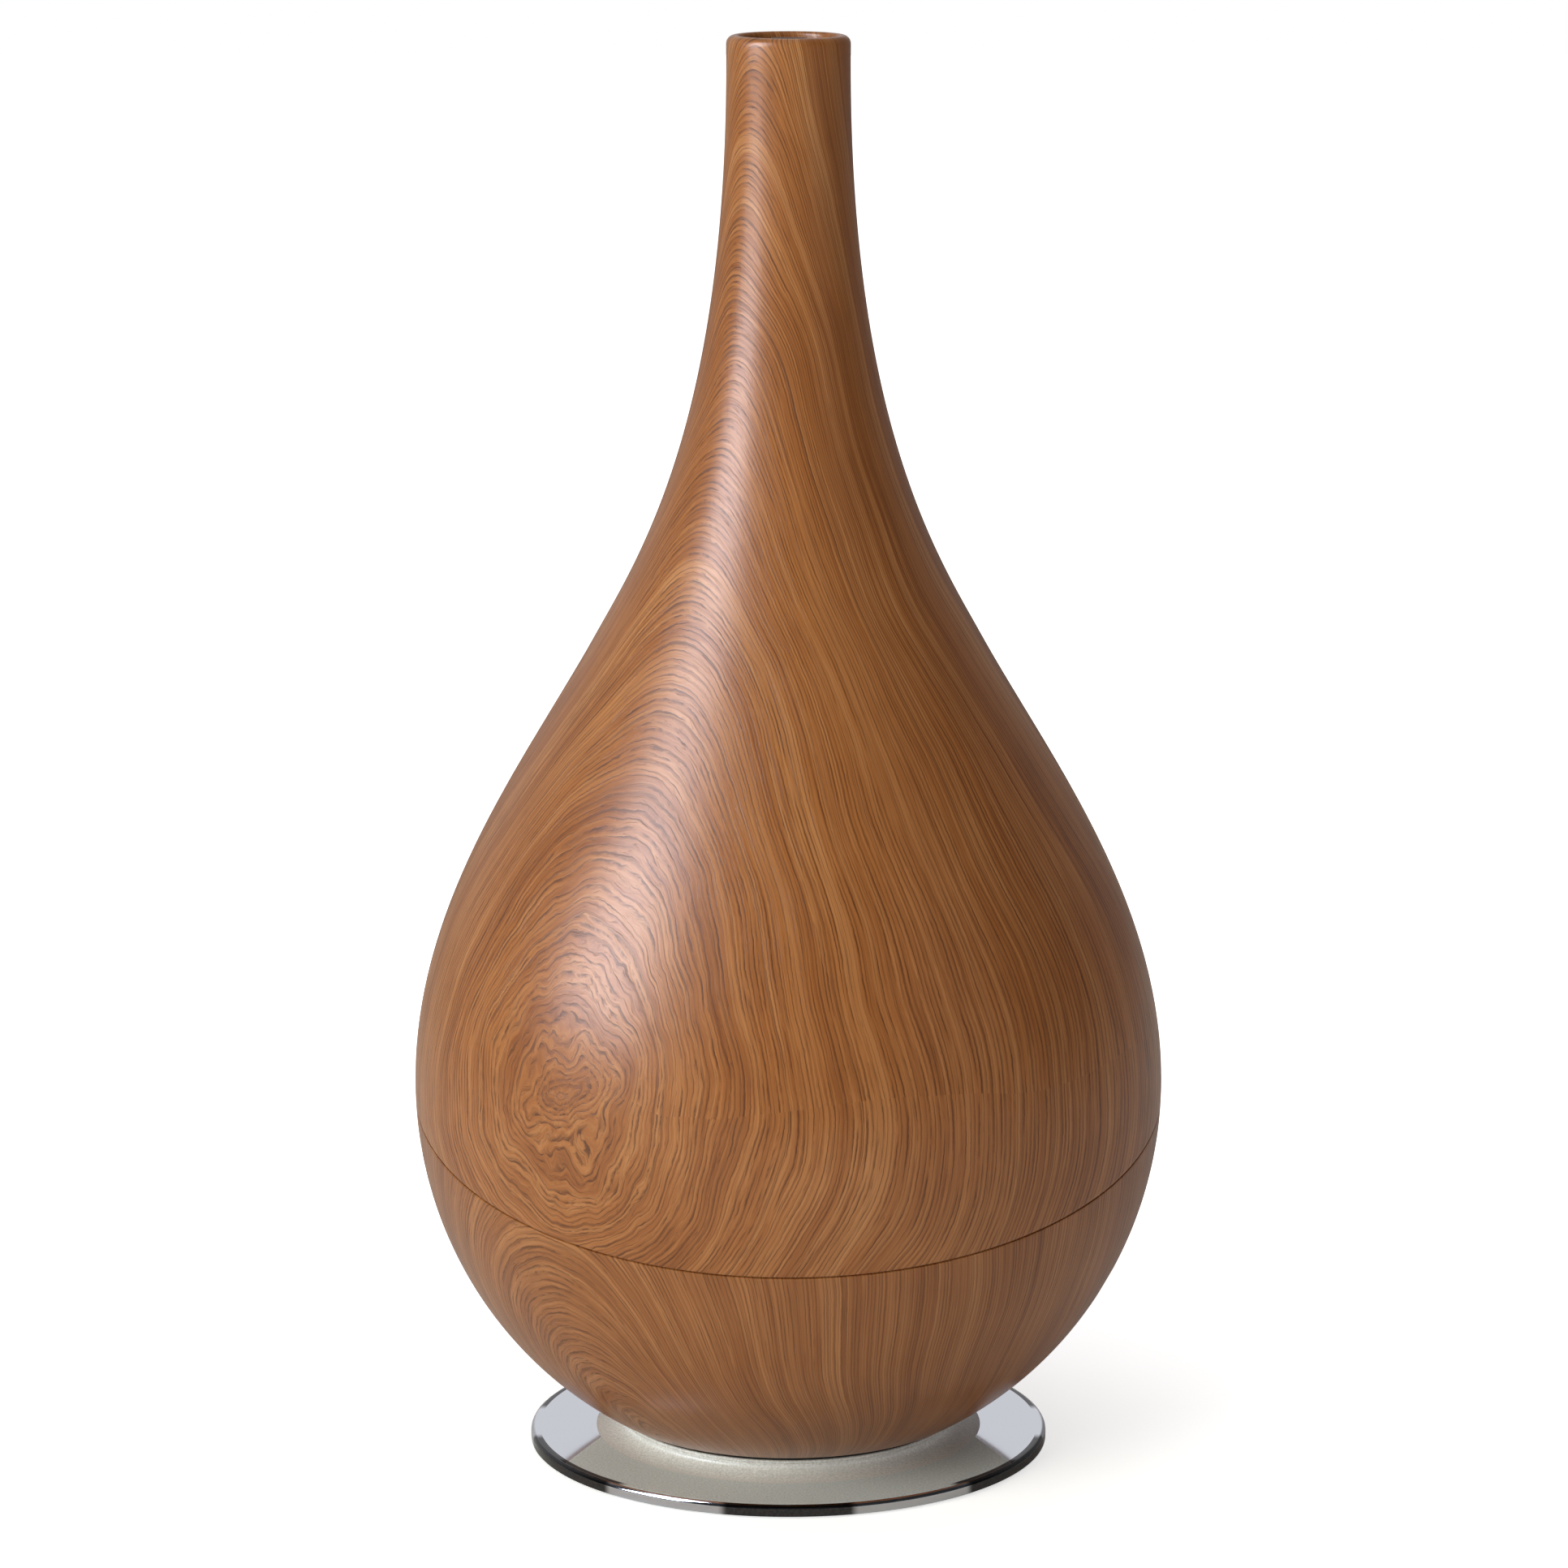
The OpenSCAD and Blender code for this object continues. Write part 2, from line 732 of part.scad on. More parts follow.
// Push button: a cap that follows the wall and a stem that reaches its switch.
module button(x) {
    color(white_plastic) {
        intersection() {
            on_wall(90, panel_z) translate([x, 0, 0]) rod(button_r, -base_wall, 5);
            layer(-button_rise, base_wall + 0.6, 30, 100);
        }
        on_wall(90, panel_z) translate([x, 0, 0]) rod(1.6, -button_foot, -base_wall + 0.6);
    }
}

module button_power() { button(button_x[0]); }

module button_mist() { button(button_x[1]); }

module button_timer() { button(button_x[2]); }

module status_led() {
    top = -2.2;
    color(clear) on_wall(90, panel_z) translate([led_x, 0, 0]) {
        rod(led_r, -board_depth[0], top - led_r);
        translate([0, 0, top - led_r]) sphere(r = led_r, $fn = 48);
    }
}

module ir_window() {
    color(dark) intersection() {
        on_wall(90, panel_z) translate([window_x, 0, 0]) rod(window_r, -14, 5);
        layer(0.6, 2.4, 30, 100);
    }
}

module ir_receiver() {
    s = receiver_size;
    color(dark) on_wall(90, panel_z) translate([window_x, 0, -board_depth[0]]) {
        translate([-s[0] / 2, -s[1] / 2, 0]) cube(s);
        rod(receiver_dome_r, s[2], s[2] + receiver_dome);
    }
}

// Circuit board behind the panel with one switch under each button.
module control_board() {
    s = switch_size;
    color(green) on_wall(90, panel_z) {
        bar(board_size, 1.5, -board_depth[1], -board_depth[0]);
        for (x = button_x) {
            translate([x - s[0] / 2, -s[1] / 2, -board_depth[0]]) cube(s);
        }
    }
}

// Round inlet with a recessed socket and its centre pin.
module power_inlet() {
    low = -inlet_depth;
    color(dark) on_wall(inlet_angle, inlet_z) {
        difference() {
            rod(inlet_r, low, -inlet_face);
            rod(inlet_recess[0], -inlet_recess[1], 1);
            rod(inlet_socket[0], -inlet_socket[1], 1);
        }
        rod(inlet_pin_r, -inlet_socket[1] - eps, -inlet_recess[1] - 0.3);
    }
}

module inlet_nut() {
    color(metal) on_wall(inlet_angle, inlet_z) difference() {
        translate([0, 0, -nut_depth[1]]) cylinder(r = nut_r, h = nut_depth[1] - nut_depth[0], $fn = 6);
        rod(inlet_r, -nut_depth[1] - 1, 0);
    }
}

module power_lead() {
    color(dark) wire(power_path);
}

module fan_lead() {
    color(dark) wire(fan_path, thin_wire_r);
}

module transducer_lead() {
    color(dark) wire(transducer_path, thin_wire_r);
}

module panel_lead() {
    color(dark) wire(panel_path, panel_wire_r);
}

// Circuit board of the mist maker on four posts.
module driver_board() {
    color(green) translate([0, board_y, 0]) difference() {
        translate([-board_half[0], -board_half[1], board_z])
            cube([2 * board_half[0], 2 * board_half[1], board_t]);
        for (x = [-1, 1], y = [-1, 1]) translate([x * post_at[0], y * post_at[1], 0])
            rod(board_screw_r + 0.2, board_z - 1, board_z + board_t + 1);
    }
}

// Coil, capacitors and connectors on the driver board.
module board_parts() {
    top = board_z + board_t;
    color(dark) {
        for (c = board_cans) translate([c[0], c[1], 0]) rod(c[2], top, top + c[3]);
        for (b = board_blocks) translate([b[0], b[1], top]) cube([b[2], b[3], b[4]]);
    }
}

module heat_sink() {
    color(metal) translate([sink_at[0], sink_at[1], board_z + board_t]) {
        cube(sink_size);
        for (i = [0:fin_n - 1]) translate([i * (sink_size[0] - fin_t) / (fin_n - 1), 0, 0])
            cube([fin_t, sink_size[1], fin_h]);
    }
}

module board_screws() {
    top = board_z + board_t;
    color(metal) translate([0, board_y, 0]) for (x = [-1, 1], y = [-1, 1])
        translate([x * post_at[0], y * post_at[1], 0]) {
            rod(board_screw_r, board_z - 6, top + eps);
            rod(board_head[0], top, top + board_head[1]);
        }
}

// Steel plate over the floor ring, tapped for the stand bolts, with the board posts.
module base_plate() {
    color(metal) difference() {
        union() {
            rod(plate_r, plate_z, plate_z + plate_t);
            translate([0, board_y, 0]) for (x = [-1, 1], y = [-1, 1])
                translate([x * post_at[0], y * post_at[1], 0])
                    rod(standoff_r, plate_z + plate_t - eps, board_z);
        }
        around(bolt_n, 90) translate([bolt_ring, 0, 0]) rod(bolt_r, plate_z - 1, plate_z + plate_t + 1);
        translate([0, board_y, 0]) for (x = [-1, 1], y = [-1, 1])
            translate([x * post_at[0], y * post_at[1], 0]) rod(board_screw_r, board_z - 6.4, board_z + 1);
    }
}

module bolt_holes(r, z0, z1) {
    around(bolt_n, 90) translate([bolt_ring, 0, 0]) rod(r, z0, z1);
}

// Dark ring between the body and the collar.
module body_gasket() {
    color(dark) difference() {
        ring(52.4, lip_in, collar_top, shell_z);
        bolt_holes(bolt_r + 0.2, collar_top - 1, shell_z + 1);
    }
}

// Collar with fine ridges that flares out onto the disc.
module stand_collar() {
    foot = 61;
    neck = 52.6;
    bead_z = 7.4;
    flare = [for (a = [0:11.25:90])
        [foot - (foot - neck) * sin(a), bead_z - (bead_z - disc_top) * cos(a)]];
    color(metal) difference() {
        rotate_extrude($fn = 180) polygon(concat([[lip_in, disc_top]], flare,
            [[neck + 0.7, bead_z + 0.2], [neck + 0.7, bead_z + 0.7], [neck, bead_z + 0.8], [neck, collar_top],
            [lip_in, collar_top]]));
        bolt_holes(bolt_r + 0.2, disc_top - 1, collar_top + 1);
    }
}

module stand_disc() {
    edge = 1.4;
    base_edge = 0.4;
    round = [for (a = [0:15:90]) [disc_r - edge + edge * cos(a), disc_top - edge + edge * sin(a)]];
    color(metal) difference() {
        rotate_extrude($fn = 180) polygon(concat([[0, foot_t], [disc_r - base_edge, foot_t],
            [disc_r, foot_t + base_edge]], round, [[0, disc_top]]));
        bolt_holes(bolt_r + 0.2, 0, disc_top + 1);
        bolt_holes(bolt_head_r + 0.2, foot_t - 1, foot_t + bolt_head_t);
    }
}

module stand_bolts() {
    seat = foot_t + bolt_head_t;
    color(metal) {
        bolt_holes(bolt_r, seat - eps, plate_z + plate_t);
        difference() {
            bolt_holes(bolt_head_r, foot_t + 0.2, seat);
            around(bolt_n, 90) translate([bolt_ring, 0, foot_t]) cylinder(r = 1.8, h = 1.2, $fn = 6);
        }
    }
}

module rubber_feet() {
    color(dark) around(foot_n, 0) translate([foot_ring, 0, 0]) rod(foot_r, 0, foot_t);
}

tank_shell();
tank_floor();
mist_chimney();
chimney_seal();
tank_cap();
cap_gasket();
valve_stem();
valve_seal();
valve_spring();
nozzle_sleeve();
mist_nozzle();
base_shell();
water_basin();
basin_screws();
transducer_disc();
transducer_seal();
transducer_clamp();
transducer_screws();
float();
float_magnet();
float_retainer();
reed_switch();
fan_housing();
fan_motor();
fan_rotor();
fan_screws();
air_grille();
air_filter();
driver_board();
board_parts();
heat_sink();
board_screws();
control_panel();
button_power();
button_mist();
button_timer();
status_led();
ir_window();
ir_receiver();
control_board();
power_inlet();
inlet_nut();
power_lead();
fan_lead();
transducer_lead();
panel_lead();
base_plate();
body_gasket();
stand_collar();
stand_disc();
stand_bolts();
rubber_feet();
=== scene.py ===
import json
import math
import bmesh
import bpy
import numpy as np
from mathutils import Matrix, Vector


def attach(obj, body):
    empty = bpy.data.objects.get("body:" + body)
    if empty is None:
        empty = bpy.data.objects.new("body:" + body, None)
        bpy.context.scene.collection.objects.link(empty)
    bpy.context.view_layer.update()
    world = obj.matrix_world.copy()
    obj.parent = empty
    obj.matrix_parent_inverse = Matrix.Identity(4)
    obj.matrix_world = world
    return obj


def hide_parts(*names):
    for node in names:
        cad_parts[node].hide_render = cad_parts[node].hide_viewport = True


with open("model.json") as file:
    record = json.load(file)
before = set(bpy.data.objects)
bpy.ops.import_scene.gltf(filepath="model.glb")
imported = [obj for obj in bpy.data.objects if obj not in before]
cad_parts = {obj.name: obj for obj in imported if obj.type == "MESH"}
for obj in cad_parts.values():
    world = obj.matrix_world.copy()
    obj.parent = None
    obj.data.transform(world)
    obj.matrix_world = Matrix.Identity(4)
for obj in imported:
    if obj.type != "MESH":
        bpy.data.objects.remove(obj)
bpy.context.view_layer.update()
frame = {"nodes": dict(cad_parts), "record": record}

MM = 0.001
NODES = frame["nodes"]

# ---------------------------------------------------------------- sizes, in mm, as in the CAD model
BELLY_R, BELLY_Z, BELLY_B = 117.0, 117.6, 121.3
TOP_Z, NECK_R, STRAIGHT_Z = 443.2, 18.9, 436.0
TANK_WALL, BASE_WALL, LIP_WALL = 2.6, 3.0, 4.0
SEAM_Z, SEAM_TILT, SEAM_GAP = 115.35, math.radians(14.75), 0.5
SHELL_Z = 10.4
PROFILE_N = 300
# the broken edges along the parting line, and the inner step under it: how far in, and its clearance
EDGE, EDGE_TOP = 0.35, 0.08
STEP_IN, STEP_FREE = 1.4, 0.06
BOLT_PLACE_R, DISC_R = 44.0, 81.8
# openings in the lower body: azimuth, height and outline size
REAR, PANEL_Z, PANEL_SIZE = 90, 64, (64, 18, 4)
GRILLE_Z, GRILLE_SIZE = 36, (44, 14, 4)
INLET_ANGLE, INLET_Z, INLET_R = -12, 57, 5.95
TURN, TURN_DIR = np.array([60.0, 258.3]), np.array([-0.4844, 0.8749])
SHOULDER = [np.array([BELLY_R, BELLY_Z]), np.array([BELLY_R, BELLY_Z + 56.35]), TURN - 44.4 * TURN_DIR, TURN]
SLOPE = [TURN, TURN + 27.5 * TURN_DIR, np.array([NECK_R, STRAIGHT_Z - 111.4]), np.array([NECK_R, STRAIGHT_Z])]


def inset(p, d, a):
    """Points p moved inwards by a, square to their directions d."""
    n = np.stack([d[:, 1], -d[:, 0]], 1)
    return p - a * n / np.linalg.norm(n, axis=1)[:, None]


def cubic(c, t):
    t = t[:, None]
    return (1 - t) ** 3 * c[0] + 3 * (1 - t) ** 2 * t * c[1] + 3 * (1 - t) * t ** 2 * c[2] + t ** 3 * c[3]


def cubic_d(c, t):
    t = t[:, None]
    return (1 - t) ** 2 * (c[1] - c[0]) + 2 * (1 - t) * t * (c[2] - c[1]) + t ** 2 * (c[3] - c[2])


def profile(a):
    """Outline of the body at depth a below its surface, from the bottom up: rows of radius, height."""
    low = np.linspace(math.asin((SHELL_Z - BELLY_Z) / BELLY_B), 0, PROFILE_N)
    p = np.stack([BELLY_R * np.cos(low), BELLY_Z + BELLY_B * np.sin(low)], 1)
    d = np.stack([-BELLY_R * np.sin(low), BELLY_B * np.cos(low)], 1)
    t = np.linspace(0, 1, PROFILE_N)[1:]
    parts = [inset(p, d, a)] + [inset(cubic(c, t), cubic_d(c, t), a) for c in (SHOULDER, SLOPE)]
    return np.concatenate(parts)


def radius_at(z):
    p = profile(0)
    return float(np.interp(z, p[:, 1], p[:, 0]))


def lean(z):
    """Angle of the lower wall's outward normal below the level."""
    return math.atan((BELLY_R / BELLY_B) ** 2 * (BELLY_Z - z) / radius_at(z))


def wall_frame(angle, z):
    """Matrix, in mm, that puts local +Z along the wall's outward normal."""
    return (Matrix.Rotation(math.radians(angle - 90), 4, "Z") @ Matrix.Translation((0, radius_at(z), z))
            @ Matrix.Rotation(-math.pi / 2 - lean(z), 4, "X"))


# ---------------------------------------------------------------- mesh tools
def link(name, mesh, body):
    o = bpy.data.objects.new(name, mesh)
    bpy.context.scene.collection.objects.link(o)
    if body:
        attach(o, body)
    return o


def smooth(mesh, angle=35):
    mesh.polygons.foreach_set("use_smooth", [True] * len(mesh.polygons))
    mesh.set_sharp_from_angle(angle=math.radians(angle))


def grid_mesh(name, cols):
    """Mesh from an array of columns of points, joined round both ways."""
    n, m, _ = cols.shape
    verts = (cols.reshape(-1, 3) * MM).tolist()
    faces = [(i * m + j, ((i + 1) % n) * m + j, ((i + 1) % n) * m + (j + 1) % m, i * m + (j + 1) % m)
             for i in range(n) for j in range(m)]
    me = bpy.data.meshes.new(name)
    me.from_pydata(verts, [], faces)
    me.validate()
    return me


def fix_normals(me, weld=None):
    bm = bmesh.new()
    bm.from_mesh(me)
    if weld:
        bmesh.ops.remove_doubles(bm, verts=bm.verts, dist=weld)
    bmesh.ops.recalc_face_normals(bm, faces=bm.faces)
    bm.to_mesh(me)
    bm.free()


def lathe(name, outline, n):
    """Closed ring turned from an outline of (radius, height) points, given clockwise from outside."""
    a = np.linspace(0, 2 * math.pi, n, endpoint=False)
    p = np.array(outline)
    cols = np.stack([np.outer(np.cos(a), p[:, 0]), np.outer(np.sin(a), p[:, 0]),
                     np.tile(p[:, 1], (n, 1))], 2)
    me = grid_mesh(name, cols)
    fix_normals(me, weld=1e-7)
    return me


def lengths(p):
    """Arc length of a polyline at each of its points."""
    return np.concatenate([[0], np.cumsum(np.linalg.norm(np.diff(p, axis=0), axis=1))])


def walk(p, s0, s1, n):
    """n points at even spacing along the polyline p from arc length s0 to s1."""
    s = lengths(p)
    q = np.linspace(s0, s1, n)
    return np.stack([np.interp(q, s, p[:, 0]), np.interp(q, s, p[:, 1])], 1)


def crossing(p, sine, level):
    """Arc length at which the outline p meets the parting plane moved by level along its normal."""
    s = lengths(p)
    d = (p[:, 1] - SEAM_Z) * math.cos(SEAM_TILT) - p[:, 0] * sine * math.sin(SEAM_TILT) - level
    k = int(np.argmax(d > 0))
    return float(s[k - 1] + (s[k] - s[k - 1]) * -d[k - 1] / (d[k] - d[k - 1]))


def at(p, s):
    """Point of the polyline p at arc length s."""
    return walk(p, s, s, 1)[0]


def length_to(p, z):
    """Arc length at which the outline p reaches height z."""
    return float(np.interp(z, p[:, 1], lengths(p)))


def arc(cx, cz, r, a0, a1, n):
    return [[cx + r * math.cos(math.radians(a)), cz + r * math.sin(math.radians(a))]
            for a in np.linspace(a0, a1, n)]


# ---------------------------------------------------------------- node tools
class Shade:
    def __init__(self, name, world=False):
        self.mat = bpy.data.worlds.new(name) if world else bpy.data.materials.new(name)
        self.mat.use_nodes = True
        self.tree = self.mat.node_tree
        self.bsdf = self.tree.nodes.get("Principled BSDF")

    def put(self, socket, value):
        if isinstance(value, bpy.types.NodeSocket):
            self.tree.links.new(value, socket)
        elif isinstance(value, (tuple, list)) and len(value) == 3 and len(socket.default_value) == 4:
            socket.default_value = (*value, 1)
        else:
            socket.default_value = value

    def node(self, kind, out):
        return self.tree.nodes.new(kind).outputs[out]

    def m(self, op, a, b=0.0, c=0.0, clamp=False):
        n = self.tree.nodes.new("ShaderNodeMath")
        n.operation, n.use_clamp = op, clamp
        for s, v in zip(n.inputs, (a, b, c)):
            self.put(s, v)
        return n.outputs[0]

    def v(self, op, a, b=(0, 0, 0), scale=None):
        n = self.tree.nodes.new("ShaderNodeVectorMath")
        n.operation = op
        self.put(n.inputs[0], a)
        if scale is None:
            self.put(n.inputs[1], b)
        else:
            self.put(n.inputs["Scale"], scale)
        return n.outputs["Value" if op in ("LENGTH", "DOT_PRODUCT") else "Vector"]

    def step(self, x, lo, hi):
        n = self.tree.nodes.new("ShaderNodeMapRange")
        n.interpolation_type = "SMOOTHSTEP"
        self.put(n.inputs["Value"], x)
        n.inputs["From Min"].default_value, n.inputs["From Max"].default_value = lo, hi
        return n.outputs["Result"]

    def span(self, x, lo, hi, to_lo, to_hi):
        n = self.tree.nodes.new("ShaderNodeMapRange")
        self.put(n.inputs["Value"], x)
        for k, w in zip(("From Min", "From Max", "To Min", "To Max"), (lo, hi, to_lo, to_hi)):
            n.inputs[k].default_value = w
        return n.outputs["Result"]

    def band(self, x, rise, fall):
        """1 between two smooth steps, each given by where it starts and ends."""
        return self.m("MULTIPLY", self.step(x, *rise), self.m("SUBTRACT", 1.0, self.step(x, *fall)))

    def fade(self, x, rate):
        return self.m("POWER", 2.718, self.m("MULTIPLY", x, -rate))

    def hypot(self, x, y):
        return self.m("SQRT", self.m("ADD", self.m("MULTIPLY", x, x), self.m("MULTIPLY", y, y)))

    def noise(self, vector, scale, detail=3.0, rough=0.5, dims="3D", out="Fac", w=None):
        n = self.tree.nodes.new("ShaderNodeTexNoise")
        n.noise_dimensions = dims
        if vector is not None:
            self.put(n.inputs["Vector"], vector)
        if w is not None:
            self.put(n.inputs["W"], w)
        n.inputs["Scale"].default_value = scale
        n.inputs["Detail"].default_value = detail
        n.inputs["Roughness"].default_value = rough
        return n.outputs[out]

    def mix(self, f, a, b):
        n = self.tree.nodes.new("ShaderNodeMix")
        n.data_type = "RGBA"
        self.put(n.inputs["Factor"], f)
        self.put(n.inputs[6], a)
        self.put(n.inputs[7], b)
        return n.outputs[2]

    def ramp(self, f, stops):
        n = self.tree.nodes.new("ShaderNodeValToRGB")
        self.put(n.inputs[0], f)
        e = n.color_ramp.elements
        while len(e) < len(stops):
            e.new(0.5)
        for x, (pos, col) in zip(e, stops):
            x.position, x.color = pos, (*col, 1)
        return n.outputs[0]

    def xyz(self, vector):
        n = self.tree.nodes.new("ShaderNodeSeparateXYZ")
        self.put(n.inputs[0], vector)
        return n.outputs

    def vec(self, x=0.0, y=0.0, z=0.0):
        n = self.tree.nodes.new("ShaderNodeCombineXYZ")
        for s, v in zip(n.inputs, (x, y, z)):
            self.put(s, v)
        return n.outputs[0]

    def here(self):
        """Object coordinates in mm."""
        return self.v("SCALE", self.node("ShaderNodeTexCoord", "Object"), scale=1000.0)

    def bump(self, height, depth, strength=1.0):
        n = self.tree.nodes.new("ShaderNodeBump")
        n.inputs["Strength"].default_value = strength
        n.inputs["Distance"].default_value = depth * MM
        self.put(n.inputs["Height"], height)
        self.put(self.bsdf.inputs["Normal"], n.outputs[0])

    def set(self, **kw):
        for k, v in kw.items():
            self.put(self.bsdf.inputs[k.replace("_", " ")], v)
        return self.mat


def srgb(r, g, b):
    return tuple(((c / 255 + 0.055) / 1.055) ** 2.4 if c > 10 else c / 255 / 12.92 for c in (r, g, b))


# ---------------------------------------------------------------- wood-grain film
def wood(name, heart_angle, heart_z, turn_rings, up_rings, down_rings, seed, light, mid, dark, line_mix):
    """Film printed with grain that rings a heart at one azimuth and height, stretched up the body.

    turn_rings is the count of rings a radian round the body, up_rings and down_rings those a
    millimetre above and below the heart, and line_mix how dark the late-wood lines are.
    """
    g = Shade(name)
    p = g.here()
    off = g.v("ADD", p, (seed * 37.0, seed * 11.0, seed * 23.0))
    big = g.v("SUBTRACT", g.noise(off, 0.011, 1.0, out="Color"), (0.5, 0.5, 0.5))
    small = g.v("SUBTRACT", g.noise(off, 0.045, 2.0, out="Color"), (0.5, 0.5, 0.5))
    a = math.radians(heart_angle)
    dx, dy = math.sin(a), -math.cos(a)
    hr = BELLY_R * 0.97
    apart = g.v("LENGTH", g.v("SUBTRACT", p, (hr * dx, hr * dy, heart_z)))
    close = g.fade(apart, 1 / 25.0)
    curl = g.v("SUBTRACT", g.noise(off, 0.034, 1.0, out="Color"), (0.5, 0.5, 0.5))
    q = g.v("ADD", p, g.v("ADD", g.v("SCALE", big, scale=20.0), g.v("SCALE", small, scale=1.0)))
    q = g.v("ADD", q, g.v("SCALE", curl, scale=g.m("MULTIPLY", close, 52.0)))
    x, y, z = g.xyz(q)
    r = g.m("MAXIMUM", g.hypot(x, y), 0.5)
    cosine = g.m("DIVIDE", g.m("ADD", g.m("MULTIPLY", x, dx), g.m("MULTIPLY", y, dy)), r)
    sine = g.m("DIVIDE", g.m("SUBTRACT", g.m("MULTIPLY", y, -dx), g.m("MULTIPLY", x, -dy)), r)
    side = g.m("MULTIPLY", g.m("SUBTRACT", 1.0, cosine), 2.0 * turn_rings ** 2)
    dz = g.m("SUBTRACT", z, heart_z)
    rate = g.m("ADD", down_rings, g.m("MULTIPLY", g.step(dz, -70.0, 70.0), up_rings - down_rings))
    up = g.m("MULTIPLY", dz, rate)
    # f counts the rings out from the heart, which stand wider apart close to it
    f = g.m("SQRT", g.m("ADD", side, g.m("MULTIPLY", up, up)))
    f = g.m("MULTIPLY", f, g.m("SUBTRACT", 1.0, g.m("MULTIPLY", 0.56, g.fade(f, 1 / 42.0))))
    # the grain wavers close to the heart and runs straight away from it
    calm = g.m("ADD", 0.25, g.m("MULTIPLY", 4.0, g.fade(f, 0.055)))
    wave = g.m("SUBTRACT", g.noise(g.v("MULTIPLY", off, (1.0, 1.0, 0.55)), 0.095, 2.0), 0.5)
    f = g.m("ADD", f, g.m("MULTIPLY", wave, g.m("MULTIPLY", calm, 1.5)))
    fine = g.m("SUBTRACT", g.noise(off, 0.55, 2.0), 0.5)
    f = g.m("ADD", f, g.m("MULTIPLY", fine, 0.26))
    jit = g.noise(None, 0.8, 1.0, dims="1D", w=f)
    # each ring starts its strokes at its own angle, so no break lines up across them
    along = g.m("ADD", g.m("ADD", 7.11, g.m("MULTIPLY", jit, 1.3)),
                g.m("ARCTAN2", up, g.m("MULTIPLY", sine, turn_rings)))
    # broad and narrow tone over the rings
    tone1 = g.noise(None, 0.07, 2.0, dims="1D", w=g.m("ADD", f, seed * 50.0))
    tone2 = g.noise(None, 0.34, 3.0, 0.6, dims="1D", w=g.m("ADD", f, seed * 90.0))
    tone3 = g.noise(off, 0.02, 3.0)
    fibre = g.noise(g.vec(g.m("MULTIPLY", f, 1.5), g.m("MULTIPLY", along, 3.0), seed * 3.0), 1.0, 4.0, 0.62)
    tone = g.m("ADD", g.m("ADD", g.m("MULTIPLY", tone1, 0.20), g.m("MULTIPLY", tone2, 0.24)),
               g.m("ADD", g.m("MULTIPLY", tone3, 0.16), g.m("MULTIPLY", fibre, 0.40)))
    col = g.ramp(g.span(tone, 0.33, 0.67, 0, 1), [(0.0, dark), (0.48, mid), (1.0, light)])
    # late-wood line of each ring, broken along its length
    part = g.m("FRACT", g.m("ADD", f, g.m("MULTIPLY", jit, 0.9)))
    line = g.band(part, (0.35, 0.86), (0.90, 1.0))
    patch = g.noise(g.vec(g.m("MULTIPLY", f, 0.7), g.m("MULTIPLY", along, 7.0), seed * 1.0), 1.0, 3.0, 0.65)
    line = g.m("MULTIPLY", line, g.step(patch, 0.34, 0.62))
    col = g.mix(g.m("MULTIPLY", line, line_mix), col, tuple(c * 0.42 for c in dark))
    # pores: short strokes along the grain
    pore = g.noise(g.vec(g.m("MULTIPLY", f, 2.2), g.m("MULTIPLY", along, 14.0), 3.0 + seed), 1.0, 3.0, 0.6)
    pores = g.step(pore, 0.56, 0.70)
    col = g.mix(g.m("MULTIPLY", pores, 0.58), col, tuple(c * 0.34 for c in dark))
    fleck = g.noise(g.vec(g.m("MULTIPLY", f, 4.2), g.m("MULTIPLY", along, 34.0), 9.0 + seed), 1.0, 2.0, 0.6)
    col = g.mix(g.m("MULTIPLY", g.step(fleck, 0.55, 0.75), 0.22), col, light)
    rough = g.m("ADD", 0.28, g.m("MULTIPLY", g.m("ADD", line, pores), 0.06))
    rough = g.m("ADD", rough, g.m("MULTIPLY", g.noise(off, 0.03, 2.0), 0.06))
    groove = g.m("ADD", g.m("MULTIPLY", line, 0.5), g.m("MULTIPLY", pores, 0.8))
    g.bump(g.m("SUBTRACT", 1.0, groove), 0.035, 0.6)
    return g.set(Base_Color=col, Roughness=rough, Specular_IOR_Level=0.5)


wood_upper = wood("wood_film_upper", -36.0, 137.0, 82.0, 0.46, 0.66, 1.0,
                  srgb(196, 138, 88), srgb(164, 102, 54), srgb(122, 66, 28), 0.88)
wood_lower = wood("wood_film_lower", -40.0, -34.0, 120.0, 0.42, 0.42, 5.0,
                  srgb(188, 130, 82), srgb(156, 97, 52), srgb(114, 62, 27), 0.74)


# ---------------------------------------------------------------- other materials
def moulded(name, colour, rough=0.42, grain=2.2, depth=0.02, spread=0.10, spec=0.5):
    g = Shade(name)
    p = g.here()
    cloud = g.noise(p, 0.05, 4.0, 0.6)
    fine = g.noise(p, grain, 2.0, 0.6)
    tone = g.m("ADD", g.m("MULTIPLY", cloud, 0.6), g.m("MULTIPLY", fine, 0.4))
    lo = tuple(c * (1 - spread) for c in colour)
    hi = tuple(min(1, c * (1 + spread) + 0.004) for c in colour)
    col = g.ramp(g.span(tone, 0.35, 0.65, 0, 1), [(0, lo), (1, hi)])
    g.bump(fine, depth, 0.5)
    r = g.m("ADD", rough - 0.05, g.m("MULTIPLY", cloud, 0.12))
    return g.set(Base_Color=col, Roughness=r, Specular_IOR_Level=spec)


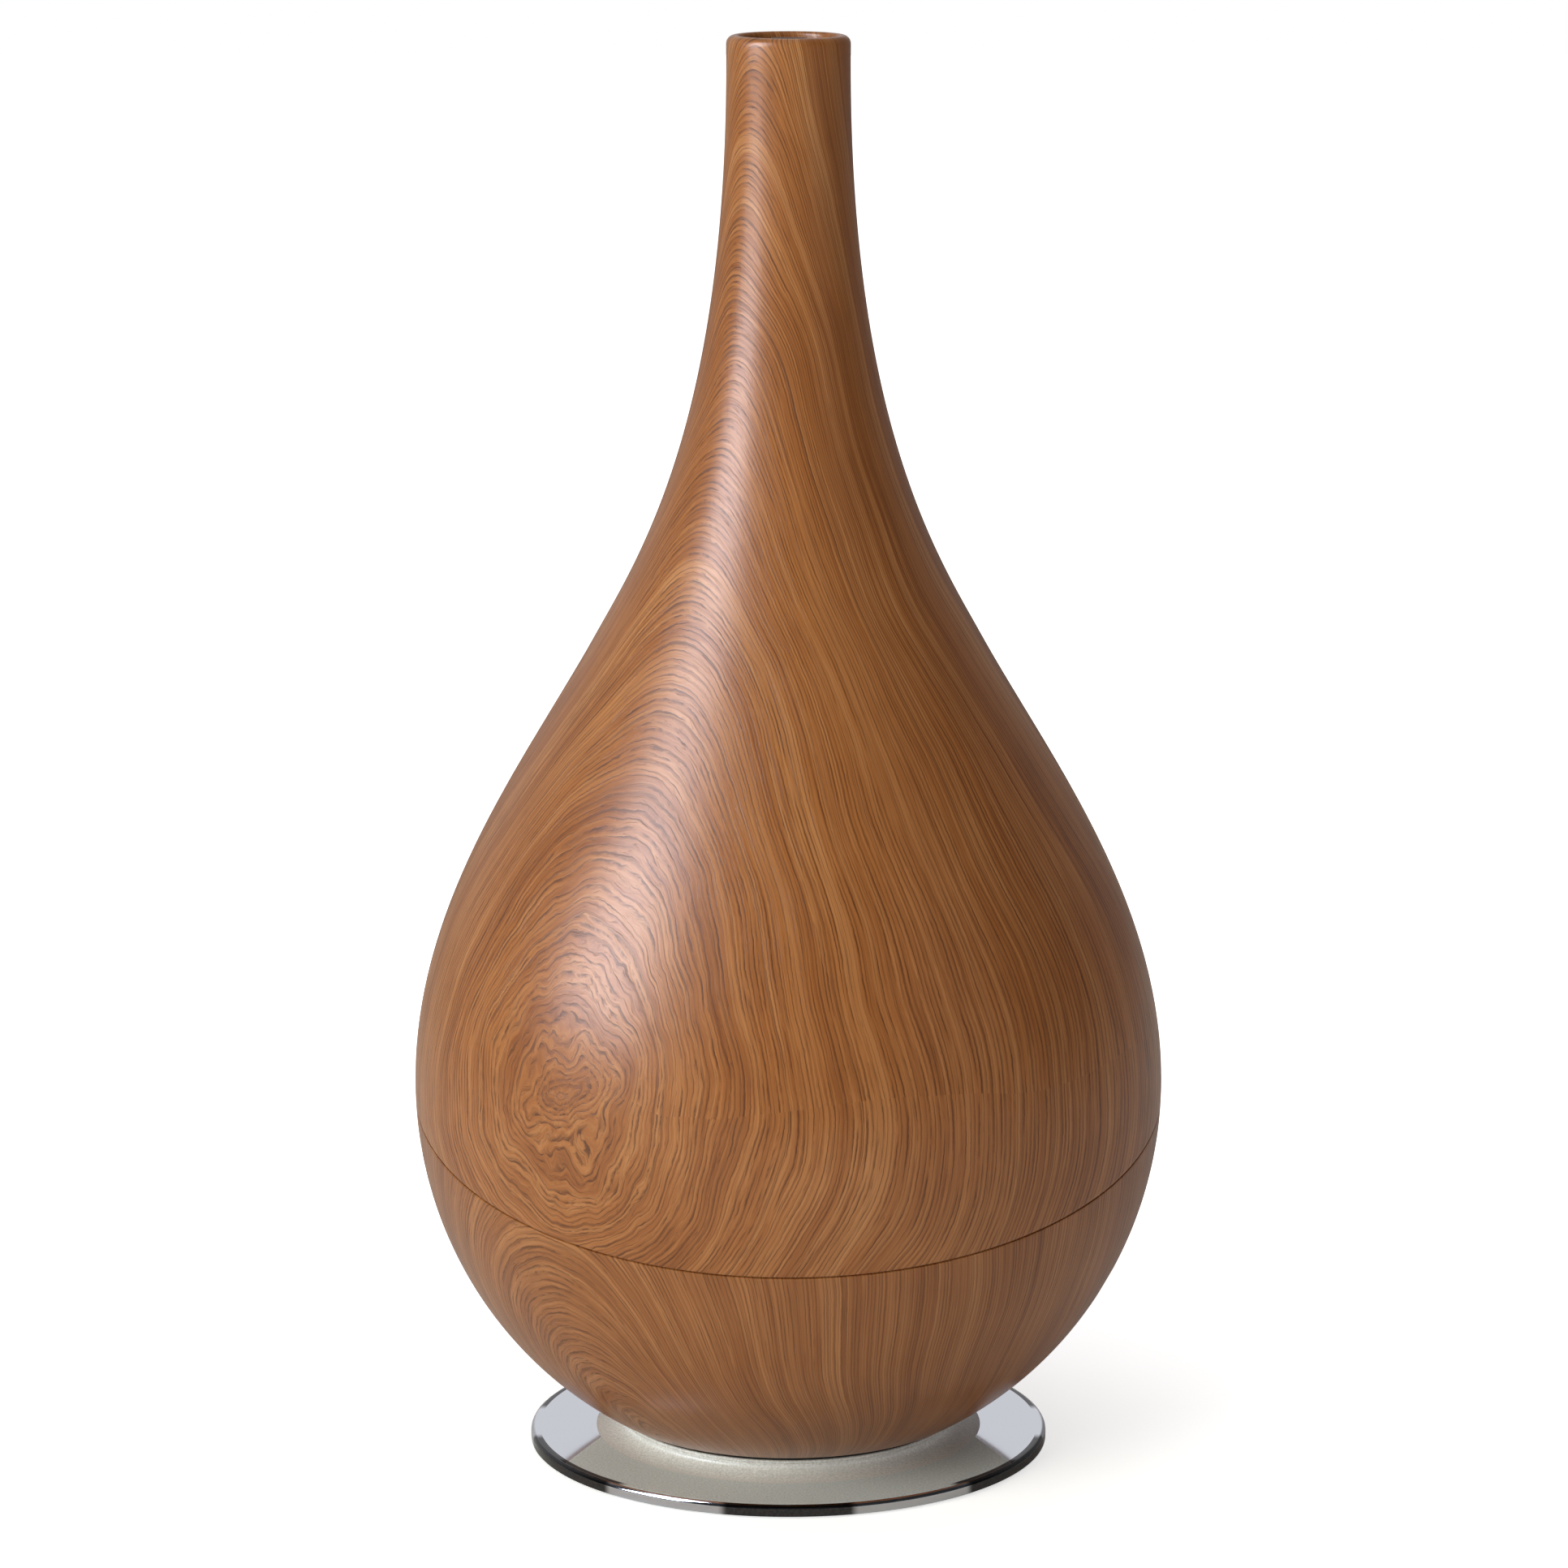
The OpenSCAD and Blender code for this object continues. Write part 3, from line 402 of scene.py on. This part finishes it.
def metal(name, colour, rough, turned=True, streak=0.08):
    g = Shade(name)
    p = g.here()
    x, y, z = g.xyz(p)
    r = g.hypot(x, y)
    marks = g.noise(g.vec(g.m("MULTIPLY", r, 5.0), g.m("MULTIPLY", z, 5.0), 0.0), 1.0, 3.0) if turned \
        else g.noise(g.v("MULTIPLY", p, (6.0, 0.3, 6.0)), 1.0, 3.0)
    cloud = g.noise(p, 0.06, 4.0)
    tone = g.m("ADD", g.m("MULTIPLY", marks, 0.6), g.m("MULTIPLY", cloud, 0.4))
    lo = tuple(c * (1 - streak) for c in colour)
    hi = tuple(min(1, c * (1 + streak)) for c in colour)
    col = g.ramp(g.span(tone, 0.3, 0.7, 0, 1), [(0, lo), (1, hi)])
    g.bump(marks, 0.004, 0.4)
    rr = g.m("ADD", rough * 0.75, g.m("MULTIPLY", cloud, rough * 0.5))
    return g.set(Base_Color=col, Roughness=rr, Metallic=1.0)


def chrome(name, body, wedge, wedge_reflection_colour, rim_r=1000.0, rim_dark_reflection=()):
    """Polished plate: turned micro-lines, wedges front and back, rougher, barely metallic and painted with a grey
    reflection, and arcs on its rim and bands by the top's edge painted dark as reflections.

    wedge is a wedge's half width at the centre in mm, wedge_reflection_colour the colour painted on the wedges as
    their reflection, rim_r the radius where the top ends, and rim_dark_reflection the arcs of the rim that are
    painted dark as a reflection, in radians from the front or back.
    """
    g = Shade(name)
    p = g.here()
    x, y, z = g.xyz(p)
    r = g.hypot(x, y)
    ax, ay = g.m("ABSOLUTE", x), g.m("ABSOLUTE", y)
    away = g.m("ARCTAN2", ax, ay)
    top = g.m("SUBTRACT", 1.0, g.step(r, rim_r - 1.2, rim_r - 0.9))
    # the front and back wedges: rougher and barely metallic, and painted with a grey reflection colour
    inside = g.m("SUBTRACT", g.m("ADD", wedge, g.m("MULTIPLY", ay, 0.39)), ax)
    satin_and_reflection_mask = g.m("MULTIPLY", top, g.step(inside, -0.4, 0.4))
    # arcs of the rim painted dark, a painted reflection
    arcs = 0.0
    for lo, hi in rim_dark_reflection:
        arcs = g.m("ADD", arcs, g.band(away, (lo - 0.02, lo + 0.02), (hi - 0.02, hi + 0.02)))
    rim = g.m("MULTIPLY", g.m("SUBTRACT", 1.0, top), arcs)
    # painted dark reflection: bands near the top's edge, to the left and right of the front and back
    edge = g.m("MULTIPLY", g.m("MULTIPLY", g.step(r, rim_r - 2.9, rim_r - 2.6), top),
               g.band(away, (0.66, 0.72), (1.35, 1.42)))
    speck = g.noise(p, 1.3, 3.0, 0.85)
    lines = g.noise(g.vec(g.m("MULTIPLY", r, 4.0), 0.0, 0.0), 1.0, 2.0)
    tone = g.m("ADD", g.m("MULTIPLY", speck, 0.75), g.m("MULTIPLY", lines, 0.25))
    lit = g.span(tone, 0.34, 0.66, 0, 1)
    bright = g.ramp(lit, [(0, tuple(c * 0.95 for c in body)), (1, body)])
    # painted reflection: the wedges take a pale grey colour for the room they would mirror
    satin_and_reflection = g.ramp(lit, [(0, tuple(c * 0.58 for c in wedge_reflection_colour)), (1, wedge_reflection_colour)])
    # painted dark reflection colour for the rim's arcs
    shade = g.ramp(lit, [(0, (0.05, 0.05, 0.053)), (1, (0.11, 0.11, 0.115))])
    # the edge bands are painted near black as a reflection
    col = g.mix(edge, g.mix(rim, g.mix(satin_and_reflection_mask, bright, satin_and_reflection), shade), (0.02, 0.02, 0.022))
    rough = g.m("ADD", 0.05, g.m("MULTIPLY", satin_and_reflection_mask, 0.40))
    rough = g.m("ADD", rough, g.m("MULTIPLY", speck, 0.05))
    g.bump(tone, 0.003, 0.3)
    metallic = g.m("SUBTRACT", 1.0, g.m("MULTIPLY", satin_and_reflection_mask, 0.92))
    return g.set(Base_Color=col, Roughness=rough, Metallic=metallic)


def clear(name, colour, rough, transmission):
    g = Shade(name)
    p = g.here()
    cloud = g.noise(p, 0.09, 3.0)
    col = g.ramp(cloud, [(0.3, tuple(c * 0.93 for c in colour)), (0.7, colour)])
    rr = g.m("ADD", rough, g.m("MULTIPLY", g.noise(p, 0.8, 2.0), 0.08))
    g.bump(g.noise(p, 0.25, 2.0), 0.03, 0.3)
    g.bsdf.inputs["Transmission Weight"].default_value = transmission
    g.bsdf.inputs["IOR"].default_value = 1.46
    return g.set(Base_Color=col, Roughness=rr)


def board(name):
    """Solder resist with tracks and round pads."""
    g = Shade(name)
    p = g.here()
    x, y, z = g.xyz(p)
    per_mm = 0.42
    cell = g.v("SCALE", p, scale=per_mm)
    cx, cy, _ = g.xyz(g.v("FLOOR", cell))
    pick = g.noise(g.vec(cx, cy, 0.0), 7.3, 0.0)
    fx, fy = (g.m("FRACT", g.m("MULTIPLY", c, per_mm)) for c in (x, y))
    tx = g.m("LESS_THAN", g.m("ABSOLUTE", g.m("SUBTRACT", fx, 0.5)), 0.16)
    ty = g.m("LESS_THAN", g.m("ABSOLUTE", g.m("SUBTRACT", fy, 0.5)), 0.16)
    track = g.m("ADD", g.m("MULTIPLY", tx, g.m("GREATER_THAN", pick, 0.52)),
                g.m("MULTIPLY", ty, g.m("LESS_THAN", pick, 0.48)), clamp=True)
    rad = g.hypot(g.m("SUBTRACT", fx, 0.5), g.m("SUBTRACT", fy, 0.5))
    pad = g.m("MULTIPLY", g.m("LESS_THAN", rad, 0.32), g.m("GREATER_THAN", pick, 0.60))
    col = g.mix(g.m("MULTIPLY", track, 0.55), srgb(16, 78, 44), srgb(40, 120, 70))
    col = g.mix(pad, col, srgb(196, 176, 118))
    col = g.mix(g.m("MULTIPLY", g.noise(p, 0.2, 3.0), 0.25), col, srgb(8, 50, 30))
    g.bump(g.m("ADD", track, pad), 0.05, 0.6)
    return g.set(Base_Color=col, Roughness=g.m("SUBTRACT", 0.36, g.m("MULTIPLY", pad, 0.12)))


def foam(name):
    g = Shade(name)
    p = g.here()
    n = g.tree.nodes.new("ShaderNodeTexVoronoi")
    g.put(n.inputs["Vector"], p)
    n.inputs["Scale"].default_value = 0.9
    cells = n.outputs["Distance"]
    col = g.ramp(cells, [(0.0, (0.006, 0.006, 0.007)), (0.7, (0.07, 0.07, 0.075))])
    g.bump(cells, 0.8, 1.0)
    return g.set(Base_Color=col, Roughness=0.9)


MATS = {
    "white_plastic": moulded("white_plastic", (0.78, 0.79, 0.79), 0.34, 1.6, 0.015, 0.04),
    "basin_plastic": moulded("basin_plastic", (0.70, 0.73, 0.74), 0.30, 1.8, 0.015, 0.05),
    "clear_tube": clear("clear_tube", (0.86, 0.92, 0.94), 0.06, 0.75),
    "black_plastic": moulded("black_plastic", (0.022, 0.022, 0.024), 0.45, 3.0, 0.03, 0.25),
    "grey_plastic": moulded("grey_plastic", (0.20, 0.21, 0.22), 0.40, 3.0, 0.02, 0.10),
    "gloss_black": moulded("gloss_black", (0.012, 0.012, 0.013), 0.12, 0.6, 0.004, 0.30, 0.55),
    "nozzle_plastic": moulded("nozzle_plastic", (0.05, 0.034, 0.026), 0.30, 2.4, 0.015, 0.20),
    "rubber_black": moulded("rubber_black", (0.018, 0.018, 0.019), 0.68, 2.0, 0.05, 0.30, 0.35),
    "silicone": moulded("silicone", (0.62, 0.63, 0.62), 0.55, 1.2, 0.03, 0.06, 0.4),
    "steel": metal("steel", (0.62, 0.62, 0.63), 0.28),
    "zinc_steel": metal("zinc_steel", (0.60, 0.60, 0.57), 0.36, streak=0.14),
    "aluminium": metal("aluminium", (0.74, 0.75, 0.77), 0.34, turned=False),
    "spring_steel": metal("spring_steel", (0.58, 0.58, 0.59), 0.22, turned=False),
    "piezo_ceramic": metal("piezo_ceramic", (0.80, 0.78, 0.72), 0.40, streak=0.10),
    "magnet": moulded("magnet", (0.05, 0.05, 0.055), 0.50, 4.0, 0.04, 0.30),
    "pcb_green": board("pcb_green"),
    "pcb_parts": moulded("pcb_parts", (0.035, 0.035, 0.04), 0.42, 2.5, 0.03, 0.4),
    "foam_grey": foam("foam_grey"),
    "led_lens": clear("led_lens", (0.80, 0.90, 1.0), 0.20, 0.6),
    "smoked_lens": moulded("smoked_lens", (0.03, 0.008, 0.012), 0.08, 0.5, 0.002, 0.3, 0.6),
    "glass_tube": clear("glass_tube", (0.82, 0.90, 0.90), 0.03, 0.85),
    "wire_black": moulded("wire_black", (0.03, 0.03, 0.033), 0.42, 2.0, 0.02, 0.2),
    "wire_red": moulded("wire_red", (0.42, 0.02, 0.02), 0.40, 2.0, 0.02, 0.15),
    "wire_grey": moulded("wire_grey", (0.30, 0.30, 0.31), 0.42, 2.0, 0.02, 0.12),
    # the disc's wedges are painted a pale blue-grey reflection, and two arcs of its rim a dark one
    "chrome_disc": chrome("chrome_disc", (0.79, 0.81, 0.87), 53.0, (0.89, 0.97, 1.0), DISC_R,
                          ((-1.0, 0.25), (0.75, 1.40))),
    # painted light: the wedge covers the whole collar, painted pale and barely metallic so it reads bright in the
    # body's shadow
    "chrome_collar": chrome("chrome_collar", (0.76, 0.80, 0.88), 300.0, (1.0, 1.0, 1.0)),
    "shell_inside": moulded("shell_inside", (0.26, 0.145, 0.075), 0.40, 2.0, 0.02, 0.06),
    "wood_film_upper": wood_upper,
    "wood_film_lower": wood_lower,
}
for sub in frame["record"]["subparts"]:
    o = NODES[sub["node"]]
    o.data.materials.clear()
    o.data.materials.append(MATS[sub["material_slot"]])
    o.data.polygons.foreach_set("use_smooth", [True] * len(o.data.polygons))
    o.data.set_sharp_from_angle(angle=math.radians(28))

# ---------------------------------------------------------------- upper body skin
COLS = 256
AZ = np.linspace(0, 2 * math.pi, COLS, endpoint=False)


def placed(rows, a):
    return np.stack([rows[:, 0] * math.cos(a), rows[:, 0] * math.sin(a), rows[:, 1]], 1)


def finish_skin(me, film, wall, top_z):
    """Film on the outer faces, bare moulded plastic on the faces past the middle of the wall."""
    me.materials.clear()
    me.materials.append(film)
    me.materials.append(MATS["shell_inside"])
    middle = profile(wall / 2)
    for f in me.polygons:
        x, y, z = f.center / MM
        f.material_index = int(z < top_z and math.hypot(x, y) < np.interp(z, middle[:, 1], middle[:, 0]))


def make_tank():
    """Upper body with its rolled lip, its bore and an inner wall that ends below the neck."""
    out, bevel, inn = profile(0), profile(EDGE), profile(TANK_WALL)
    fix, top_i = 180.0, 412.0
    bore = NECK_R - LIP_WALL
    round_o, round_i = 2.6, 1.3
    lip_o = arc(NECK_R - round_o, TOP_Z - round_o, round_o, 0, 90, 9)
    lip_i = arc(bore + round_i, TOP_Z - round_i, round_i, 90, 180, 7)
    ledge_z, ledge_r = 424.0, 13.1
    ledge = [[bore, ledge_z + 0.3], [bore - 0.2, ledge_z], [ledge_r, ledge_z], [ledge_r, ledge_z - 7.0]]
    cols = []
    for a in AZ:
        s = math.sin(a)
        c0 = crossing(out, s, SEAM_GAP / 2 + EDGE)
        edge = at(out, crossing(out, s, SEAM_GAP / 2 + EDGE_TOP)) - (EDGE_TOP, 0)
        foot = at(bevel, crossing(bevel, s, SEAM_GAP / 2))
        c1 = crossing(inn, s, SEAM_GAP / 2)
        rows = np.concatenate([
            [foot, edge], walk(out, c0, length_to(out, fix), 60),
            walk(out, length_to(out, fix), length_to(out, STRAIGHT_Z), 130)[1:],
            lip_o, lip_i, ledge,
            walk(inn, length_to(inn, top_i), length_to(inn, fix), 60),
            walk(inn, length_to(inn, fix), c1, 24)[1:]])
        cols.append(placed(rows, a))
    me = grid_mesh("tank_shell_skin", np.array(cols))
    fix_normals(me)
    smooth(me, 40)
    o = link("tank_shell_skin", me, "tank")
    finish_skin(me, wood_upper, TANK_WALL, 420.0)
    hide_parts("tank_shell")


# ---------------------------------------------------------------- lower body skin
def prism(name, outline, z0, z1, matrix):
    """Closed prism of a flat outline in mm, placed by a matrix in mm."""
    bm = bmesh.new()
    lo = [bm.verts.new((matrix @ Vector((x, y, z0))) * MM) for x, y in outline]
    hi = [bm.verts.new((matrix @ Vector((x, y, z1))) * MM) for x, y in outline]
    bm.faces.new(lo)
    bm.faces.new(hi)
    n = len(outline)
    for i in range(n):
        bm.faces.new((lo[i], lo[(i + 1) % n], hi[(i + 1) % n], hi[i]))
    bmesh.ops.recalc_face_normals(bm, faces=bm.faces)
    me = bpy.data.meshes.new(name)
    bm.to_mesh(me)
    bm.free()
    return me


def rounded(w, h, r, n=10):
    """Outline in mm of a rectangle with rounded corners."""
    pts = []
    x, y = w / 2 - r, h / 2 - r
    for cx, cy, a0 in ((x, y, 0), (-x, y, 90), (-x, -y, 180), (x, -y, 270)):
        pts += arc(cx, cy, r, a0, a0 + 90, n)
    return pts


def circle(r, n=48):
    return [[r * math.cos(t), r * math.sin(t)] for t in np.linspace(0, 2 * math.pi, n, endpoint=False)]


def bolt_holes(r, n, z0, z1):
    """Three round cutters where the stand's bolts are."""
    places = (Matrix.Rotation(math.radians(90 + 120 * k), 4, "Z") @ Matrix.Translation((BOLT_PLACE_R, 0, 0))
              for k in range(3))
    return [prism("c", circle(r, n), z0, z1, place) for place in places]


def carve(o, meshes):
    """Cuts closed meshes out of an object and applies the cuts."""
    for me in meshes:
        tool = bpy.data.objects.new("tool", me)
        bpy.context.scene.collection.objects.link(tool)
        mod = o.modifiers.new("cut", "BOOLEAN")
        mod.operation, mod.object, mod.solver = "DIFFERENCE", tool, "EXACT"
        dg = bpy.context.evaluated_depsgraph_get()
        new = bpy.data.meshes.new_from_object(o.evaluated_get(dg))
        o.modifiers.clear()
        old = o.data
        o.data = new
        bpy.data.meshes.remove(old)
        bpy.data.objects.remove(tool)
        bpy.data.meshes.remove(me)


def add_bosses(me):
    """Three hollow screw bosses, whose feet follow the middle of the wall."""
    place_r, hole_r, boss_r, top_r, top_z, sides = 100, 1.55, 5.0, 4.6, 80.0, 32
    bm = bmesh.new()
    bm.from_mesh(me)
    bowl = profile(BASE_WALL / 2)[:PROFILE_N]
    for k in (30, 150, 270):
        a = math.radians(k)
        cx, cy = place_r * math.cos(a), place_r * math.sin(a)
        rings = []
        for r, height in ((hole_r, None), (boss_r, None), (boss_r, top_z - 0.4), (top_r, top_z), (hole_r, top_z)):
            ring = []
            for t in np.linspace(0, 2 * math.pi, sides, endpoint=False):
                x, y = cx + r * math.cos(t), cy + r * math.sin(t)
                foot = max(52.0, float(np.interp(math.hypot(x, y), bowl[:, 0], bowl[:, 1])))
                z = foot if height is None else height
                ring.append(bm.verts.new((x * MM, y * MM, z * MM)))
            rings.append(ring)
        for u, v in zip(rings, rings[1:] + rings[:1]):
            for i in range(sides):
                bm.faces.new((u[i], u[(i + 1) % sides], v[(i + 1) % sides], v[i]))
    bmesh.ops.recalc_face_normals(bm, faces=bm.faces)
    bm.to_mesh(me)
    bm.free()


def make_base():
    """Lower body: a cup with a flat foot, its openings and screw bosses."""
    out, bevel, step, inn = (profile(a) for a in (0, EDGE, STEP_IN, BASE_WALL))
    fix, well_r, floor_z = 60.0, 38.0, 13.4
    s_low = length_to(out, SHELL_Z + 0.8)
    cols = []
    for a in AZ:
        s = math.sin(a)
        c0 = crossing(out, s, -SEAM_GAP / 2 - EDGE)
        edge = at(out, crossing(out, s, -SEAM_GAP / 2 - EDGE_TOP)) - (EDGE_TOP, 0)
        foot = at(bevel, crossing(bevel, s, -SEAM_GAP / 2))
        # an inner step rises across the gap, so no light shows through it
        step_top = SEAM_GAP / 2 - STEP_FREE
        lip = [at(step, crossing(step, s, k)) for k in (-SEAM_GAP / 2, step_top)]
        c1 = crossing(inn, s, step_top)
        rows = np.concatenate([
            [[well_r, SHELL_Z], [53.6, SHELL_Z], [54.9, SHELL_Z + 0.25]],
            walk(out, s_low, length_to(out, fix), 60), walk(out, length_to(out, fix), c0, 60)[1:],
            [edge, foot], lip, walk(inn, c1, length_to(inn, fix), 40),
            walk(inn, length_to(inn, fix), length_to(inn, floor_z + 0.2), 40)[1:],
            [[53.4, floor_z], [well_r, floor_z]]])
        cols.append(placed(rows, a))
    me = grid_mesh("base_shell_skin", np.array(cols))
    fix_normals(me)
    o = link("base_shell_skin", me, "base")
    carve(o, [prism("c", rounded(*PANEL_SIZE), -12, 5, wall_frame(REAR, PANEL_Z)),
              prism("c", rounded(*GRILLE_SIZE), -12, 5, wall_frame(REAR, GRILLE_Z)),
              prism("c", circle(INLET_R), -12, 5, wall_frame(INLET_ANGLE, INLET_Z))]
          + bolt_holes(2.2, 32, 9, 15))
    add_bosses(o.data)
    smooth(o.data, 35)
    finish_skin(o.data, wood_lower, BASE_WALL, 200.0)
    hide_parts("base_shell")


# ---------------------------------------------------------------- collar and disc
def make_collar():
    foot, neck, bead, top, low, hole_r = 61.0, 52.6, 7.4, 9.2, 4.6, 38.0
    rows = [[hole_r, low], [foot, low]]
    rows += [[foot - (foot - neck) * math.sin(t), bead - (bead - low) * math.cos(t)]
             for t in np.linspace(0.03, math.pi / 2, 28)]
    rows += arc(neck, bead + 0.45, 0.42, -80, 80, 9)
    rows += [[neck, bead + 1.0]] + arc(neck - 0.1, bead + 1.4, 0.34, -80, 80, 9)
    rows += [[neck - 0.2, top], [hole_r, top]]
    me = lathe("stand_collar_skin", rows, 256)
    smooth(me, 50)
    me.materials.append(MATS["chrome_collar"])
    o = link("stand_collar_skin", me, "base")
    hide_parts("stand_collar")


def make_disc():
    r, low, top = DISC_R, 0.8, 4.6
    rows = [[0.02, low], [r - 0.5, low]] + arc(r - 0.5, low + 0.5, 0.5, -90, 0, 6)[1:]
    rows += arc(r - 1.5, top - 1.5, 1.5, 0, 90, 14) + [[r - 2.6, top], [62.0, top], [0.02, top]]
    me = lathe("stand_disc_skin", rows, 256)
    o = link("stand_disc_skin", me, "base")
    carve(o, bolt_holes(4.2, 40, -1, 3.0))
    smooth(o.data, 30)
    o.data.materials.clear()
    o.data.materials.append(MATS["chrome_disc"])
    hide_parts("stand_disc")


make_tank()
make_base()
make_collar()
make_disc()

# ---------------------------------------------------------------- stage, light and camera
def make_floor():
    me = bpy.data.meshes.new("floor")
    bm = bmesh.new()
    n, size = 24, 6.0
    vs = [[bm.verts.new(((i / n - 0.5) * 2 * size, (j / n - 0.5) * 2 * size, 0.0)) for j in range(n + 1)]
          for i in range(n + 1)]
    for i in range(n):
        for j in range(n):
            bm.faces.new((vs[i][j], vs[i + 1][j], vs[i + 1][j + 1], vs[i][j + 1]))
    bm.to_mesh(me)
    bm.free()
    g = Shade("floor_pale")
    ray = g.node("ShaderNodeLightPath", "Is Camera Ray")
    grain = g.noise(g.here(), 0.02, 3.0)
    col = g.ramp(grain, [(0.3, (0.80, 0.80, 0.80)), (0.7, (0.82, 0.82, 0.82))])
    x, y, z = g.xyz(g.here())
    # painted light: the floor glows to the camera only, weaker near the object and full beyond about 420 mm, so
    # it is painted darker round the object
    far = g.step(g.hypot(x, y), 100.0, 420.0)
    glow = g.m("ADD", 0.68, g.m("MULTIPLY", far, 0.5))
    g.put(g.bsdf.inputs["Emission Strength"], g.m("MULTIPLY", ray, glow))
    g.set(Base_Color=col, Roughness=0.9, Emission_Color=(1, 1, 1), Specular_IOR_Level=0.1)
    me.materials.append(g.mat)
    o = bpy.data.objects.new("floor", me)
    bpy.context.scene.collection.objects.link(o)


def area(name, at_m, look, size, power, colour, glossy=True):
    d = bpy.data.lights.new(name, "AREA")
    d.shape, d.size, d.size_y, d.energy, d.color = "RECTANGLE", size[0], size[1], power, colour
    o = bpy.data.objects.new(name, d)
    bpy.context.scene.collection.objects.link(o)
    o.location = at_m
    o.rotation_mode = "QUATERNION"
    o.rotation_quaternion = (Vector(look) - Vector(at_m)).to_track_quat("-Z", "Y")
    o.visible_glossy = glossy
    return o


make_floor()
window = area("window_left", (-1.42, -0.74, 1.42), (0, 0, 1.42), (0.86, 1.9), 66.0, (0.80, 0.87, 1.0))
window.visible_diffuse = False
area("fill_left", (-1.6, -1.5, 1.0), (0, 0, 0.2), (1.6, 1.6), 50.0, (0.98, 1.0, 0.88), glossy=False)
area("fill_right", (1.8, -1.4, 0.9), (0, 0, 0.2), (1.4, 1.4), 9.0, (1.0, 0.96, 0.90), glossy=False)
area("top", (0, 0.1, 2.2), (0, 0, 0.2), (1.6, 1.6), 10.0, (1, 1, 1), glossy=False)

# the room is white to the camera and dimmer to reflections: bright behind, dark in front
w = Shade("studio", world=True)
bg = w.tree.nodes["Background"]
dirs = w.xyz(w.node("ShaderNodeTexCoord", "Generated"))
rear = w.step(dirs[1], -0.05, 0.85)
right = w.step(dirs[0], 0.10, 0.34)
left = w.step(w.m("MULTIPLY", dirs[0], -1.0), 0.10, 0.34)
back = w.mix(left, w.mix(right, (0.70, 0.70, 0.72), (0.20, 0.20, 0.20)), (0.46, 0.46, 0.47))
low = w.band(dirs[2], (0.02, 0.10), (0.36, 0.50))
near = w.m("MULTIPLY", low, w.m("SUBTRACT", 1.0, w.step(w.m("ABSOLUTE", dirs[0]), 0.20, 0.50)))
front = w.mix(near, (0.025, 0.025, 0.026), (0.15, 0.15, 0.155))
room = w.mix(rear, front, back)
seen = w.node("ShaderNodeLightPath", "Is Camera Ray")
w.put(bg.inputs["Color"], w.mix(seen, room, (1.0, 1.0, 1.0)))
bpy.context.scene.world = w.mat

cam = bpy.data.cameras.new("camera")
cam_o = bpy.data.objects.new("camera", cam)
bpy.context.scene.collection.objects.link(cam_o)
SENSOR_MM, FOCAL_PX, FRAME_PX, LOOK_DOWN = 36.0, 6877.3, 1932, 0.2025
cam.sensor_width, cam.lens = SENSOR_MM, FOCAL_PX / FRAME_PX * SENSOR_MM
cam.clip_start, cam.clip_end = 0.05, 50
cam_o.location = (-0.00136, -1.700, 0.5608)
cam_o.rotation_euler = (math.pi / 2 - LOOK_DOWN, 0, 0)
bpy.context.scene.camera = cam_o
bpy.context.scene.view_settings.view_transform = "Standard"
